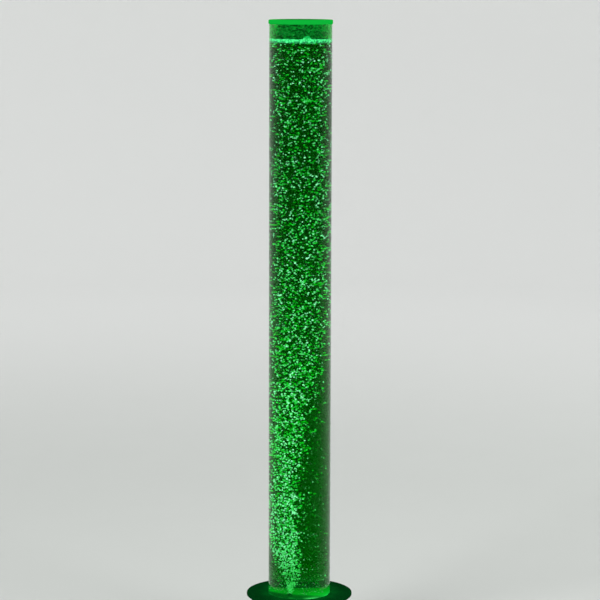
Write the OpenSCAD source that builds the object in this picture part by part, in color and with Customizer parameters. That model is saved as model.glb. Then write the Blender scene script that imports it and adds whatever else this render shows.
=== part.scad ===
// Bubble tube floor lamp: a tall clear tube of water standing in a round base.
// A pump in the base blows air through a nozzle in the tube's floor, and a ring
// of lamps under the floor lights the bubbles.
// +Z is up, the origin is on the floor under the tube's axis, -Y is the front.

/* [Tube] */
// Outer diameter of the clear tube
tube_d = 150; // [135:1:168]
// Wall of the clear tube
tube_wall = 5; // [4:0.5:7]
// Height of the tube that shows above the top plate
tube_show = 1378; // [600:1:1700]
// How far the tube goes down into its socket, from the plate's top
tube_sink = 20; // [18:1:24]
// Thickness of the clear floor plug
floor_t = 12; // [9:1:14]
// Air left between the water and the tube's rim
head_space = 35; // [25:1:80]

/* [Lid] */
// Thickness of the lid's disc
lid_t = 10; // [6:1:16]
// How far the lid's disc overhangs the tube, each side
lid_over = 1.5; // [0.5:0.5:4]
// Depth of the lid's spigot in the tube
spigot_h = 8; // [7:1:14]
// Diameter of the vent hole in the lid
vent_d = 6; // [3:1:12]

/* [Base] */
// Diameter of the round top plate
plate_d = 256; // [246:1:300]
// Thickness of the top plate
plate_t = 6; // [5:1:10]
// Diameter of the drum
drum_d = 232; // [230:1:244]
// Height of the drum
drum_h = 98; // [96:1:130]
// Wall of the drum
drum_wall = 4; // [3:0.5:5]
// Thickness of the drum's roof
roof_t = 4; // [3:0.5:6]
// Thickness of the cover under the drum
cover_t = 3; // [2:0.5:4]
// Height of the rubber feet
foot_h = 8; // [6:1:14]
// Diameter of the rubber feet
foot_d = 22; // [16:1:26]
// Diameter of a screw post
post_d = 9; // [8:0.5:10]

/* [Socket] */
// Thickness of the ledge that the tube stands on
ledge_t = 8; // [6:1:10]
// Width of the ledge, inwards from the tube's outside
ledge_w = 9; // [7:1:12]
// Wall of the socket's barrel
barrel_wall = 6; // [5:0.5:8]
// Thickness of the socket's flange
flange_t = 8; // [7:1:9]
// How far the flange stands out from the barrel
flange_w = 8; // [8:0.5:9]
// Section of the rubber ring in the socket
seal_d = 3.2; // [2.4:0.2:4]

/* [Recess at the back] */
// Width of the recess
recess_w = 100; // [90:1:104]
// Height of the recess
recess_h = 60; // [54:1:63]
// Depth of the recess, from the drum's outside to the panel's face
recess_deep = 22; // [20:1:24]
// Wall of the recess and of the frame behind the panel
recess_wall = 3; // [2:0.5:4]
// Thickness of the rear panel
panel_t = 3; // [2:0.5:4]
// Height of the panel's middle above the drum's lower edge
panel_up = 40; // [39:1:43]

/* [Air and drain] */
// Nozzle's place across the floor, to the left of the axis
nozzle_x = -19; // [-24:1:-14]
// Nozzle's place along Y, towards the front
nozzle_y = -27; // [-32:1:-22]
// Drain's place across the floor
drain_x = 24; // [20:1:28]
// Drain's place along Y
drain_y = 22; // [18:1:26]
// Outer diameter of the air hose
air_hose_d = 6; // [5:0.5:7]
// Outer diameter of the drain hose
drain_hose_d = 12; // [11:0.5:13]
// Wall of both hoses
hose_wall = 1.2; // [1:0.1:1.5]
// Radius of the valve's ball
ball_r = 6; // [5.5:0.1:6.5]
// Length of the valve's lever from its stem
lever_l = 26; // [20:1:30]

/* [Lamps] */
// Lamps in the outer ring
led_outer_n = 18; // [8:1:22]
// Lamps in the inner ring
led_inner_n = 6; // [3:1:8]
// Radius of the outer ring of lamps
led_outer_r = 57; // [54:1:58]
// Radius of the inner ring of lamps
led_inner_r = 14; // [10:1:15]
// Gap between the lamp board and the socket
led_gap = 8.4; // [8:0.1:12]

/* [Bubbles] */
// Rise from one bubble to the next
bubble_step = 5.6; // [5:0.1:12]
// Radius of a full-grown bubble
bubble_r = 4.2; // [3:0.1:4.8]

/* [Hidden] */
$fn = 96;

// Clearances: round parts that fit, and flat parts that slide
fit = 0.05;
slip = 0.3;

// Feet and plate screws round the drum, with the cover's screw posts between them
post_n = 5;
post_turn = 360 / post_n;
// Screws in the socket's flange, and spacers under its ledge
flange_turns = [30:60:330];
spacer_turns = [0:120:240];

// Radii and levels that follow from the sizes above
tube_r = tube_d / 2;
bore_r = tube_r - tube_wall;
drum_r = drum_d / 2;
drum_in = drum_r - drum_wall;
cover_top = foot_h + cover_t;
drum_top = foot_h + drum_h;
plate_top = drum_top + plate_t;
tube_top = plate_top + tube_show;
tube_end = plate_top - tube_sink;
water_top = tube_top - head_space;
floor_low = plate_top - floor_t;

barrel_r = tube_r + barrel_wall;
flange_r = barrel_r + flange_w;
socket_low = tube_end - ledge_t;
flange_low = drum_top - flange_t;
light_r = tube_r - ledge_w;
seal_z = flange_low + 1 + seal_d / 2;

post_r = drum_in - post_d / 2 - 3.5;
foot_ring = drum_in - foot_d / 2 - 3;
hole_gap = 1;
screw_ring = (drum_in + flange_r + hole_gap) / 2;
socket_ring = barrel_r + flange_w / 2;

panel_y = drum_r - recess_deep;
panel_in = panel_y - panel_t;
panel_z = foot_h + panel_up;
ear = 6;

// The row on the panel: inlet, switch, button and valve, each nut clear of the frame
nut_gap = 2;
small_nut = 14;
valve_nut_w = 20;
row_end = recess_w / 2 - ear - nut_gap;
inlet_x = small_nut / 2 - row_end;
valve_x = row_end - valve_nut_w / 2;
row_step = (valve_x - inlet_x) / 3;
switch_x = inlet_x + row_step;
button_x = inlet_x + 2 * row_step;

led_top = socket_low - led_gap;
led_t = 1.6;
led_low = led_top - led_t;
led_board_r = barrel_r - 2;
spacer_ring = (light_r + barrel_r) / 2;

// Pump, lying along X on its bracket
pump_r = 13.5;
pump_x = -38;
pump_y = -40;
mount_h = 6;
bracket_t = 2;
bracket_l = 46;
bracket_w = 38;
pump_z = cover_top + mount_h + bracket_t + pump_r + 0.5;
band_x = 8;
band_w = 10;
motor_l = 40;
head_l = 22;
mount_x = 17;
mount_y = 14;

// Control board, flat on posts of the cover
board_x = -42;
board_y = 40;
board_l = 60;
board_w = 40;
board_t = 1.6;
board_post = 6;
board_low = cover_top + board_post;
board_top = board_low + board_t;
board_hole_x = board_l / 2 - 4;
board_hole_y = board_w / 2 - 4;

// Drain valve, along Y at the panel's middle height less a little
valve_z = panel_z - 8;
valve_r = 12;
ball_y = panel_y + ball_r + 3;
valve_front = ball_y + ball_r + 3;
chamber_r = ball_r + 0.1;
thread_r = 8;
way_r = 2.5;
stem_r = 2;
lever_z = valve_z + valve_r + 2.4;
tail_y = panel_in - 21;

// ---------- shapes that repeat ----------

// children, at an angle and a distance from the axis
module around(angle, ring) {
    rotate([0, 0, angle]) translate([ring, 0, 0]) children();
}

// children turned to point along +Y, from a place
module along_y(x, y, z) {
    translate([x, y, z]) rotate([-90, 0, 0]) children();
}

// a ring standing on z = 0
module ring(outer, inner, h) {
    difference() {
        cylinder(r = outer, h = h);
        translate([0, 0, -1]) cylinder(r = inner, h = h + 2);
    }
}

// a pan-headed screw: head below z = 0, shank above it
module screw(d, len, head_d, head_h) {
    difference() {
        union() {
            cylinder(d = d, h = len, $fn = 32);
            translate([0, 0, -head_h]) cylinder(d = head_d, h = head_h, $fn = 32);
        }
        translate([0, 0, -head_h - 1]) cylinder(d = d * 0.75, h = head_h * 0.55 + 1, $fn = 6);
    }
}

// a hexagon nut standing on z = 0
module nut(across, hole_r, h) {
    difference() {
        rotate([0, 0, 30]) cylinder(d = across / cos(30), h = h, $fn = 6);
        translate([0, 0, -1]) cylinder(r = hole_r, h = h + 2, $fn = 48);
    }
}

// a block with round upright edges, standing on z = 0
module round_block(x, y, h, r) {
    linear_extrude(h) union() {
        square([x - 2 * r, y], center = true);
        square([x, y - 2 * r], center = true);
        for (i = [-1, 1], j = [-1, 1])
            translate([i * (x / 2 - r), j * (y / 2 - r)]) circle(r = r, $fn = 32);
    }
}

// A hose is a tube of flat sides, so what goes into it is a little smaller than its bore.
function hose_fit(d, sides) = (d / 2 - hose_wall) * cos(180 / sides) - fit;

// three ridges of a hose barb, from z = 0 up
module barb(r, len) {
    cylinder(r = r * 0.82, h = len, $fn = 40);
    for (k = [0:2])
        translate([0, 0, len - (k + 1) * len * 0.24])
            cylinder(r1 = r, r2 = r * 0.82, h = len * 0.2, $fn = 40);
}

// smooth points through a list, n to each step
function smooth(p, n) = concat(
    [for (i = [0:len(p) - 2], k = [0:n - 1])
        let (t = k / n, a = p[max(i - 1, 0)], b = p[i], c = p[i + 1],
             d = p[min(i + 2, len(p) - 1)])
        0.5 * (2 * b + (c - a) * t + (2 * a - 5 * b + 4 * c - d) * t * t
            + (3 * b - a - 3 * c + d) * t * t * t)],
    [p[len(p) - 1]]);
function unit(v) = v / norm(v);
function heading(p, i) = unit(p[min(i + 1, len(p) - 1)] - p[max(i - 1, 0)]);
function hoop(p, i, r, side, n) =
    let (t = heading(p, i), u = unit(cross(side, t)), w = cross(t, u))
    [for (k = [0:n - 1]) p[i] + r * (cos(360 * k / n) * u + sin(360 * k / n) * w)];

// a round tube through points; side is a direction that the route never runs along
module sweep(p, r, side, n = 8) {
    last = (len(p) - 1) * n;
    polyhedron(
        points = [for (i = [0:len(p) - 1]) each hoop(p, i, r, side, n)],
        faces = concat(
            [[for (k = [0:n - 1]) k]],
            [for (i = [0:len(p) - 2], k = [0:n - 1])
                let (a = i * n + k, b = i * n + (k + 1) % n) [a, a + n, b]],
            [for (i = [0:len(p) - 2], k = [0:n - 1])
                let (a = i * n + k, b = i * n + (k + 1) % n) [b, a + n, b + n]],
            [[for (k = [n - 1:-1:0]) last + k]]));
}

// ---------- tube and lid ----------

module tube() {
    color([0.75, 0.9, 0.8, 0.35]) translate([0, 0, tube_end])
        ring(tube_r, bore_r, tube_top - tube_end);
}

module tube_floor() {
    color([0.6, 0.9, 0.7, 0.6]) difference() {
        translate([0, 0, floor_low]) cylinder(r = bore_r - fit, h = floor_t);
        translate([nozzle_x, nozzle_y, floor_low - 1])
            cylinder(r = 4 + fit, h = floor_t + 2, $fn = 48);
        translate([drain_x, drain_y, floor_low - 1])
            cylinder(r = 6 + fit, h = floor_t + 2, $fn = 48);
    }
}

module water_column() {
    color([0.1, 0.5, 0.2, 0.5]) difference() {
        translate([0, 0, plate_top])
            cylinder(r = bore_r - fit, h = water_top - plate_top);
        translate([nozzle_x, nozzle_y, plate_top - 1])
            cylinder(r = nozzle_flange + fit, h = 1 + nozzle_up + fit, $fn = 48);
        translate([drain_x, drain_y, plate_top - 1])
            cylinder(r = drain_flange + fit, h = 1 + grate_t + fit, $fn = 48);
        each_bubble(fit);
    }
}

// ---------- bubbles ----------

// The stream leans towards the nozzle low down and fills the bore far up. Each row is
// a share of the water's height, how far the stream is over the nozzle, and its width.
stream = [
    [0, 1, 0.03], [0.02, 0.95, 0.16], [0.075, 0.8, 0.5],
    [0.335, 0.45, 0.74], [0.63, 0, 1], [1, 0, 1]];
function along_stream(share, column) = lookup(share, [for (row = stream) [row[0], row[column]]]);
golden_turn = 137.508;
golden_share = 0.7548776662;
tip_gap = 1.5;
wall_gap = 1.6;
surface_gap = 6;

// Radius of the ball that is number k, at a height over the tube's floor
function ball_size(k, up) = min(bubble_r, 0.55 * bubble_r + 0.03 * up) * (0.86 + 0.14 * sin(97 * k));

// Balls of the stream: each turns by the golden angle and keeps clear of the others.
module each_bubble(grow = 0) {
    deep = water_top - plate_top;
    first = nozzle_up + tip_gap + 0.6 * bubble_r;
    last = deep - surface_gap - 1.6 * bubble_r;
    for (k = [0:floor((last - first) / bubble_step)]) {
        up = first + k * bubble_step;
        over = along_stream(up / deep, 1);
        wide = (bore_r - 2 * bubble_r - wall_gap) * along_stream(up / deep, 2);
        out = wide * sqrt((k * golden_share) % 1);
        translate([
            nozzle_x * over + out * cos(golden_turn * k),
            nozzle_y * over + out * sin(golden_turn * k),
            plate_top + up])
            sphere(r = ball_size(k, up) + grow, $fn = 24);
    }
}

module bubbles() {
    color([0.6, 1, 0.7]) each_bubble();
}

// The lid's disc has a rounded rim over a shallow drip groove, and a hollow spigot.
lid_r = tube_r + lid_over;
spigot_r = bore_r - 0.6;
spigot_wall = 4;
groove = 1.6;
module lid() {
    rim = min(2.5, lid_t / 3);
    color([0.5, 0.95, 0.65, 0.6]) difference() {
        union() {
            rotate_extrude() polygon(concat(
                [[0, tube_top], [lid_r - 0.8, tube_top], [lid_r, tube_top + 0.8]],
                [for (a = [0:15:90])
                    [lid_r - rim + rim * cos(a), tube_top + lid_t - rim + rim * sin(a)]],
                [[0, tube_top + lid_t]]));
            translate([0, 0, tube_top - spigot_h]) cylinder(r = spigot_r, h = spigot_h + 1);
        }
        translate([0, 0, tube_top - spigot_h - 1])
            cylinder(r = spigot_r - spigot_wall, h = spigot_h + 1);
        translate([0, 0, tube_top - spigot_h / 2 - groove / 2])
            ring(spigot_r + 1, spigot_r - groove, groove);
        cylinder(d = vent_d, h = tube_top + lid_t + 1, $fn = 48);
    }
}

module lid_seal() {
    seal_r = groove / 2 - fit / 2;
    color([0.1, 0.1, 0.1]) rotate_extrude()
        translate([bore_r - 0.1 - seal_r, tube_top - spigot_h / 2])
        circle(r = seal_r, $fn = 24);
}

// ---------- nozzle ----------

air_sides = 10;
air_barb_r = hose_fit(air_hose_d, air_sides);
drain_sides = 12;
drain_barb_r = hose_fit(drain_hose_d, drain_sides);
nozzle_up = 5;
nozzle_flange = 6;
module air_nozzle() {
    color([0.12, 0.12, 0.12]) translate([nozzle_x, nozzle_y, 0]) difference() {
        union() {
            translate([0, 0, plate_top]) cylinder(r = nozzle_flange, h = 1.5, $fn = 48);
            translate([0, 0, plate_top + 1.5])
                cylinder(r1 = 4, r2 = 1.8, h = nozzle_up - 1.5, $fn = 48);
            translate([0, 0, nozzle_low]) cylinder(r = 4, h = plate_top - nozzle_low, $fn = 48);
            translate([0, 0, nozzle_low - 10]) barb(air_barb_r, 10);
        }
        translate([0, 0, nozzle_low - 11]) cylinder(r = 0.8, h = 60, $fn = 24);
    }
}

washer_t = 1.5;
nozzle_nut_h = 4;
nozzle_low = floor_low - washer_t - nozzle_nut_h - 1.5;
module nozzle_washer() {
    color([0.1, 0.1, 0.1]) translate([nozzle_x, nozzle_y, floor_low - washer_t])
        ring(7, 4 + fit, washer_t, $fn = 48);
}

module nozzle_nut() {
    color("silver") translate([nozzle_x, nozzle_y, floor_low - washer_t - nozzle_nut_h])
        nut(12, 4 + fit, nozzle_nut_h);
}

// ---------- top plate, drum and socket ----------

module top_plate() {
    r = plate_d / 2;
    hole = tube_r + 0.5;
    edge = min(1.5, plate_t / 3);
    color([0.02, 0.16, 0.06]) difference() {
        rotate_extrude($fn = 180) polygon(concat(
            [[hole, drum_top], [r - 0.6, drum_top], [r, drum_top + 0.6]],
            [for (a = [0:15:90])
                [r - edge + edge * cos(a), plate_top - edge + edge * sin(a)]],
            [[hole + 0.5, plate_top], [hole, plate_top - 0.5]]));
        for (k = [0:post_n - 1])
            around(90 + k * post_turn, screw_ring)
                translate([0, 0, drum_top - 1]) cylinder(r = 2 + fit, h = plate_t - 0.5, $fn = 32);
        for (a = flange_turns)
            around(a, socket_ring)
                translate([0, 0, drum_top - 1]) cylinder(r = 1.5 + fit, h = plate_t - 0.5, $fn = 32);
    }
}

module plate_screws() {
    color("silver") for (k = [0:post_n - 1])
        around(90 + k * post_turn, screw_ring)
            translate([0, 0, drum_top - roof_t]) screw(4, roof_t + plate_t - 2, 8, 2.4);
}

// the recess and its walls, as solid blocks trimmed to the drum's outside
module recess_block(grow, y) {
    intersection() {
        translate([-recess_w / 2 - grow, y, panel_z - recess_h / 2 - grow])
            cube([recess_w + 2 * grow, drum_r, recess_h + 2 * grow]);
        translate([0, 0, foot_h]) cylinder(r = drum_r, h = drum_h, $fn = 180);
    }
}

// one post with the two ribs that tie it to the wall
module post() {
    cylinder(d = post_d, h = drum_top - cover_top - 1);
    translate([0, -1, 0]) cube([drum_in - post_r + 1, 2, drum_top - cover_top - 1]);
}

module drum() {
    slots = 7;
    slot_turn = 4.5;
    slot_w = 3;
    slot_h = 26;
    slot_up = 12;
    color([0.07, 0.1, 0.08]) difference() {
        union() {
            difference() {
                translate([0, 0, foot_h]) cylinder(r = drum_r, h = drum_h, $fn = 180);
                translate([0, 0, foot_h - 1])
                    cylinder(r = drum_in, h = drum_h - roof_t + 1, $fn = 180);
                cylinder(r = flange_r + hole_gap, h = drum_top + 1);
            }
            for (k = [0:post_n - 1])
                around(90 + (k + 0.5) * post_turn, post_r) translate([0, 0, cover_top]) post();
            recess_block(recess_wall, panel_in - recess_wall);
        }
        recess_block(0, panel_in);
        translate([-recess_w / 2 + ear, panel_in - recess_wall - 1, panel_z - recess_h / 2 + ear])
            cube([recess_w - 2 * ear, recess_wall + 2, recess_h - 2 * ear]);
        for (k = [0:post_n - 1]) {
            around(90 + (k + 0.5) * post_turn, post_r)
                translate([0, 0, cover_top - 1]) cylinder(r = 1.5 + fit, h = 16, $fn = 32);
            around(90 + k * post_turn, screw_ring)
                translate([0, 0, drum_top - roof_t - 1]) cylinder(r = 2 + fit, h = roof_t + 2, $fn = 32);
        }
        panel_holes() cylinder(r = 1.25 + fit, h = 12, center = true, $fn = 32);
        for (side = [0, 180], k = [-(slots - 1) / 2:(slots - 1) / 2])
            around(side + k * slot_turn, drum_r)
                translate([-drum_wall - 2, -slot_w / 2, foot_h + slot_up])
                    cube([drum_wall + 4, slot_w, slot_h]);
    }
}

// children at the four corners of the panel, pointing along +Y from its inner face
module panel_holes() {
    for (i = [-1, 1], j = [-1, 1])
        along_y(i * (recess_w / 2 - ear / 2), panel_in, panel_z + j * (recess_h / 2 - ear / 2))
            children();
}

module tube_socket() {
    color([0.1, 0.12, 0.11]) difference() {
        union() {
            translate([0, 0, socket_low]) cylinder(r = barrel_r, h = drum_top - socket_low);
            translate([0, 0, flange_low]) cylinder(r = flange_r, h = flange_t);
        }
        translate([0, 0, tube_end]) cylinder(r = tube_r + fit, h = drum_top);
        cylinder(r = light_r, h = drum_top);
        translate([0, 0, seal_z - seal_d / 2]) cylinder(r = tube_r + seal_d, h = seal_d);
        for (a = flange_turns)
            around(a, socket_ring) cylinder(r = 1.5 + fit, h = drum_top + 1, $fn = 32);
        for (a = spacer_turns)
            around(a, spacer_ring) cylinder(r = 1.25 + fit, h = socket_low + 5, $fn = 32);
    }
}

module tube_seal() {
    color([0.08, 0.08, 0.08]) rotate_extrude() translate([tube_r + seal_d / 2, seal_z])
        circle(r = seal_d / 2 - fit / 2, $fn = 24);
}

module socket_screws() {
    color("silver") for (a = flange_turns)
        around(a, socket_ring) translate([0, 0, flange_low]) screw(3, flange_t + plate_t - 2, 5.5, 2);
}

// ---------- cover and feet ----------

module base_cover() {
    color([0.1, 0.12, 0.11]) difference() {
        union() {
            translate([0, 0, foot_h]) cylinder(r = drum_in - 0.2, h = cover_t, $fn = 180);
            board_corners() translate([0, 0, cover_top - 0.5]) cylinder(d = 7, h = board_post + 0.5);
        }
        for (k = [0:post_n - 1]) {
            around(90 + (k + 0.5) * post_turn, post_r) cylinder(r = 1.5 + fit, h = cover_top + 1, $fn = 32);
            around(90 + k * post_turn, foot_ring) cylinder(r = 3 + fit, h = cover_top + 1, $fn = 32);
        }
        board_corners() cylinder(r = 1.25 + fit, h = board_low + 1, $fn = 32);
        pump_corners() cylinder(r = 1.5 + fit, h = cover_top + 1, $fn = 32);
        for (i = [-4:4])
            translate([grille_x + 7 * i, grille_y, foot_h - 1]) cube([3, grille_l, cover_t + 2]);
    }
}

// Grille of slots in the cover, beside the boards
grille_x = 36;
grille_y = -8;
grille_l = 44;

module board_corners() {
    for (i = [-1, 1], j = [-1, 1])
        translate([board_x + i * board_hole_x, board_y + j * board_hole_y, 0]) children();
}

module pump_corners() {
    for (i = [-1, 1], j = [-1, 1])
        translate([pump_x + i * mount_x, pump_y + j * mount_y, 0]) children();
}

module cover_screws() {
    color("silver") for (k = [0:post_n - 1])
        around(90 + (k + 0.5) * post_turn, post_r) translate([0, 0, foot_h]) screw(3, cover_t + 12, 6, 2);
}

module rubber_feet() {
    color([0.05, 0.05, 0.05]) for (k = [0:post_n - 1])
        around(90 + k * post_turn, foot_ring) {
            rotate_extrude($fn = 64) polygon([
                [0, 0], [foot_d / 2 - 2.5, 0], [foot_d / 2 - 1, 1],
                [foot_d / 2, foot_h], [0, foot_h]]);
            cylinder(r = 3, h = cover_top + 1.5, $fn = 32);
            translate([0, 0, cover_top + 0.1]) cylinder(r1 = 3.8, r2 = 2.8, h = 1.9, $fn = 32);
        }
}

// ---------- rear panel and what it carries ----------

module rear_panel() {
    color([0.13, 0.15, 0.14]) difference() {
        translate([-recess_w / 2 + slip, panel_in, panel_z - recess_h / 2 + slip])
            cube([recess_w - 2 * slip, panel_t, recess_h - 2 * slip]);
        panel_holes() cylinder(r = 1.25 + fit, h = 20, center = true, $fn = 32);
        along_y(inlet_x, panel_in - 1, panel_z) cylinder(r = inlet_r + fit, h = panel_t + 2, $fn = 48);
        translate([switch_x - switch_w / 2 - fit, panel_in - 1, panel_z - switch_h / 2 - fit])
            cube([switch_w + 2 * fit, panel_t + 2, switch_h + 2 * fit]);
        along_y(button_x, panel_in - 1, panel_z) cylinder(r = sleeve_r + fit, h = panel_t + 2, $fn = 48);
        along_y(valve_x, panel_in - 1, valve_z) cylinder(r = thread_r + fit, h = panel_t + 2, $fn = 48);
    }
}

module panel_screws() {
    color("silver") for (i = [-1, 1], j = [-1, 1])
        translate([i * (recess_w / 2 - ear / 2), panel_y, panel_z + j * (recess_h / 2 - ear / 2)])
            rotate([90, 0, 0]) screw(2.5, panel_t + recess_wall, 5, 1.8);
}

inlet_r = 5.5;
inlet_l = 14;
module dc_inlet() {
    color([0.05, 0.05, 0.05]) along_y(inlet_x, panel_y, panel_z) {
        difference() {
            union() {
                cylinder(r = inlet_r + 1.5, h = 2, $fn = 64);
                translate([0, 0, -inlet_l]) cylinder(r = inlet_r, h = inlet_l + 1, $fn = 64);
            }
            translate([0, 0, -9]) cylinder(r = 2.8, h = 12, $fn = 48);
        }
        translate([0, 0, -9.5]) cylinder(r = 1.05, h = 10, $fn = 32);
    }
}

module inlet_nut() {
    color("silver") along_y(inlet_x, panel_in - 3, panel_z) nut(small_nut, inlet_r + fit, 3);
}

switch_w = 19.4;
switch_h = 13;
rocker_w = 14;
rocker_h = 9;
rocker_tilt = 9;
pivot_y = panel_y + 1;
blade_x = 6;
blade_back = 20;
module switch_body() {
    color([0.05, 0.05, 0.05]) difference() {
        union() {
            along_y(switch_x, panel_y, panel_z) round_block(switch_w + 1.2, switch_h + 2, 2, 1);
            translate([switch_x - switch_w / 2, panel_y - 14, panel_z - switch_h / 2])
                cube([switch_w, 15, switch_h]);
            for (i = [-1, 1])
                translate([switch_x + i * blade_x - 0.4, panel_y - blade_back, panel_z - 2])
                    cube([0.8, 7, 4]);
        }
        translate([switch_x - rocker_w / 2 - slip, panel_y - 6.5, panel_z - rocker_h / 2 - 1.1])
            cube([rocker_w + 2 * slip, 10, rocker_h + 2.2]);
        translate([switch_x - rocker_w / 2 - 1.8, pivot_y, panel_z]) rotate([0, 90, 0])
            cylinder(r = 1 + fit, h = rocker_w + 3.6, $fn = 32);
    }
}

// Rocker on two trunnions, tilted to "on"
module switch_rocker() {
    color([0.4, 0.05, 0.05]) translate([switch_x, pivot_y, panel_z]) rotate([rocker_tilt, 0, 0]) {
        difference() {
            intersection() {
                translate([-rocker_w / 2, -3, -rocker_h / 2]) cube([rocker_w, 6, rocker_h]);
                rotate([0, 90, 0]) cylinder(r = 5.2, h = rocker_w + 2, center = true, $fn = 64);
            }
            translate([-rocker_w / 2 - 1, 9, 0]) rotate([0, 90, 0])
                cylinder(r = 7, h = rocker_w + 2, $fn = 96);
        }
        rotate([0, 90, 0]) cylinder(r = 1, h = rocker_w + 3, center = true, $fn = 32);
    }
}

sleeve_r = 6;
sleeve_l = 15;
button_r = 4.2;
button_travel = 1.5;
module button_sleeve() {
    color("silver") along_y(button_x, panel_y, panel_z) difference() {
        union() {
            cylinder(r = 7.5, h = 2, $fn = 64);
            translate([0, 0, -sleeve_l]) cylinder(r = sleeve_r, h = sleeve_l + 1, $fn = 64);
        }
        translate([0, 0, -7]) cylinder(r = button_r + fit, h = 10, $fn = 48);
        translate([0, 0, -sleeve_l + 1]) cylinder(r = 2 + fit, h = sleeve_l, $fn = 32);
    }
}

module button_nut() {
    color("silver") along_y(button_x, panel_in - 3, panel_z) nut(small_nut, sleeve_r + fit, 3);
}

module mode_button() {
    color([0.75, 0.78, 0.76]) along_y(button_x, panel_y, panel_z) {
        translate([0, 0, -7 + button_travel + slip])
            cylinder(r = button_r, h = 10 - button_travel - slip, $fn = 48);
        translate([0, 0, 3]) cylinder(r1 = button_r, r2 = button_r - 0.6, h = 0.6, $fn = 48);
        translate([0, 0, -sleeve_l + 1 + button_travel + slip])
            cylinder(r = 2, h = sleeve_l - 6, $fn = 32);
    }
}

// ---------- boards ----------

module control_board() {
    color([0.05, 0.3, 0.12]) difference() {
        translate([board_x, board_y, board_low]) round_block(board_l, board_w, board_t, 2);
        board_corners() cylinder(r = 1.25 + fit, h = board_top + 1, $fn = 32);
    }
}

// Plugs for the leads: a row of three along the back, and one at the left
plug_h = 6;
plug_row = [-14, -2, 10];
plug_y = board_w / 2 - 5;
side_plug_x = -21;
side_plug_y = -8;
module board_parts() {
    translate([board_x, board_y, board_top]) {
        color([0.1, 0.1, 0.1]) {
            translate([-9, -4, 0]) cube([9, 7, 2]);
            translate([6, -12, 0]) cube([6, 5, 1.6]);
        }
        color([0.85, 0.85, 0.8]) {
            for (x = plug_row) translate([x - 4, plug_y - 3, 0]) cube([8, 6, plug_h]);
            translate([side_plug_x - 3, side_plug_y - 4, 0]) cube([6, 8, plug_h]);
        }
        color([0.15, 0.2, 0.45]) for (x = [14, 22])
            translate([x, 2, 0]) cylinder(r = 3.2, h = 10, $fn = 40);
        color([0.3, 0.3, 0.3]) translate([-2, -14, 0]) cylinder(r = 4, h = 5, $fn = 40);
    }
}

module board_screws() {
    color("silver") board_corners() translate([0, 0, board_top]) rotate([180, 0, 0])
        screw(2.5, board_t + board_post, 4.5, 1.6);
}

module led_board() {
    color([0.85, 0.88, 0.86]) difference() {
        translate([0, 0, led_low]) cylinder(r = led_board_r, h = led_t);
        translate([nozzle_x, nozzle_y, led_low - 1])
            cylinder(r = air_hose_d / 2 + 2, h = led_t + 2, $fn = 48);
        translate([drain_x, drain_y, led_low - 1])
            cylinder(r = drain_hose_d / 2 + 2, h = led_t + 2, $fn = 48);
        for (a = spacer_turns)
            around(a, spacer_ring)
                translate([0, 0, led_low - 1]) cylinder(r = 1.25 + fit, h = led_t + 2, $fn = 32);
    }
}

// one lamp: a flange, a barrel and a dome
module led() {
    cylinder(r = 2.9, h = 1, $fn = 32);
    cylinder(r = 2.5, h = led_gap - 2.6, $fn = 32);
    translate([0, 0, led_gap - 2.6]) sphere(r = 2.5, $fn = 32);
}

module leds() {
    color([0.3, 1, 0.45]) {
        for (k = [0:led_outer_n - 1]) around((k + 0.5) * 360 / led_outer_n, led_outer_r)
            translate([0, 0, led_top]) led();
        for (k = [0:led_inner_n - 1]) around(k * 360 / led_inner_n, led_inner_r)
            translate([0, 0, led_top]) led();
    }
}

module led_spacers() {
    color([0.8, 0.65, 0.3]) for (a = spacer_turns)
        around(a, spacer_ring) translate([0, 0, led_top]) nut(5.5, 1.25 + fit, led_gap);
}

module led_screws() {
    color("silver") for (a = spacer_turns)
        around(a, spacer_ring) translate([0, 0, led_low]) screw(2.5, led_t + led_gap + 4, 4.5, 1.6);
}

// ---------- pump and air ----------

module pump_motor() {
    color("silver") translate([pump_x, pump_y, pump_z]) rotate([0, 90, 0]) {
        translate([0, 0, -motor_l]) cylinder(r = pump_r, h = motor_l);
        translate([0, 0, -motor_l - 2]) cylinder(r = 5, h = 3, $fn = 48);
    }
}

head_end = pump_x + head_l;
outlet_z = pump_z + 6;
outlet_l = 10;
module pump_head() {
    color([0.12, 0.12, 0.13]) {
        translate([pump_x, pump_y, pump_z]) rotate([0, 90, 0]) {
            cylinder(r = pump_r, h = 12);
            translate([0, 0, 12]) cylinder(r = pump_r - 1, h = head_l - 12);
        }
        for (a = [45:90:315])
            translate([pump_x, pump_y, pump_z]) rotate([a, 0, 0]) translate([0, pump_r - 2.5, 0])
                rotate([0, 90, 0]) cylinder(r = 2.2, h = head_l + 1, $fn = 32);
        translate([head_end - 1, pump_y, outlet_z]) rotate([0, 90, 0])
            barb(air_barb_r, outlet_l + 1);
    }
}

// saddle that the motor lies in, with a flat foot
module pump_bracket() {
    color([0.6, 0.62, 0.64]) difference() {
        translate([pump_x - bracket_l / 2, pump_y - bracket_w / 2, cover_top + mount_h]) {
            cube([bracket_l, bracket_w, bracket_t]);
            translate([6, 8, 0]) cube([bracket_l / 2 - 8, bracket_w - 16, 12]);
            translate([band_x, bracket_w / 2, pump_z - cover_top - mount_h]) rotate([0, 90, 0])
                cylinder(r = pump_r + 1.5, h = band_w);
        }
        translate([pump_x - 60, pump_y, pump_z]) rotate([0, 90, 0])
            cylinder(r = pump_r + fit, h = 120);
        pump_corners() cylinder(r = 1.5 + fit, h = 60, $fn = 32);
    }
}

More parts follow.
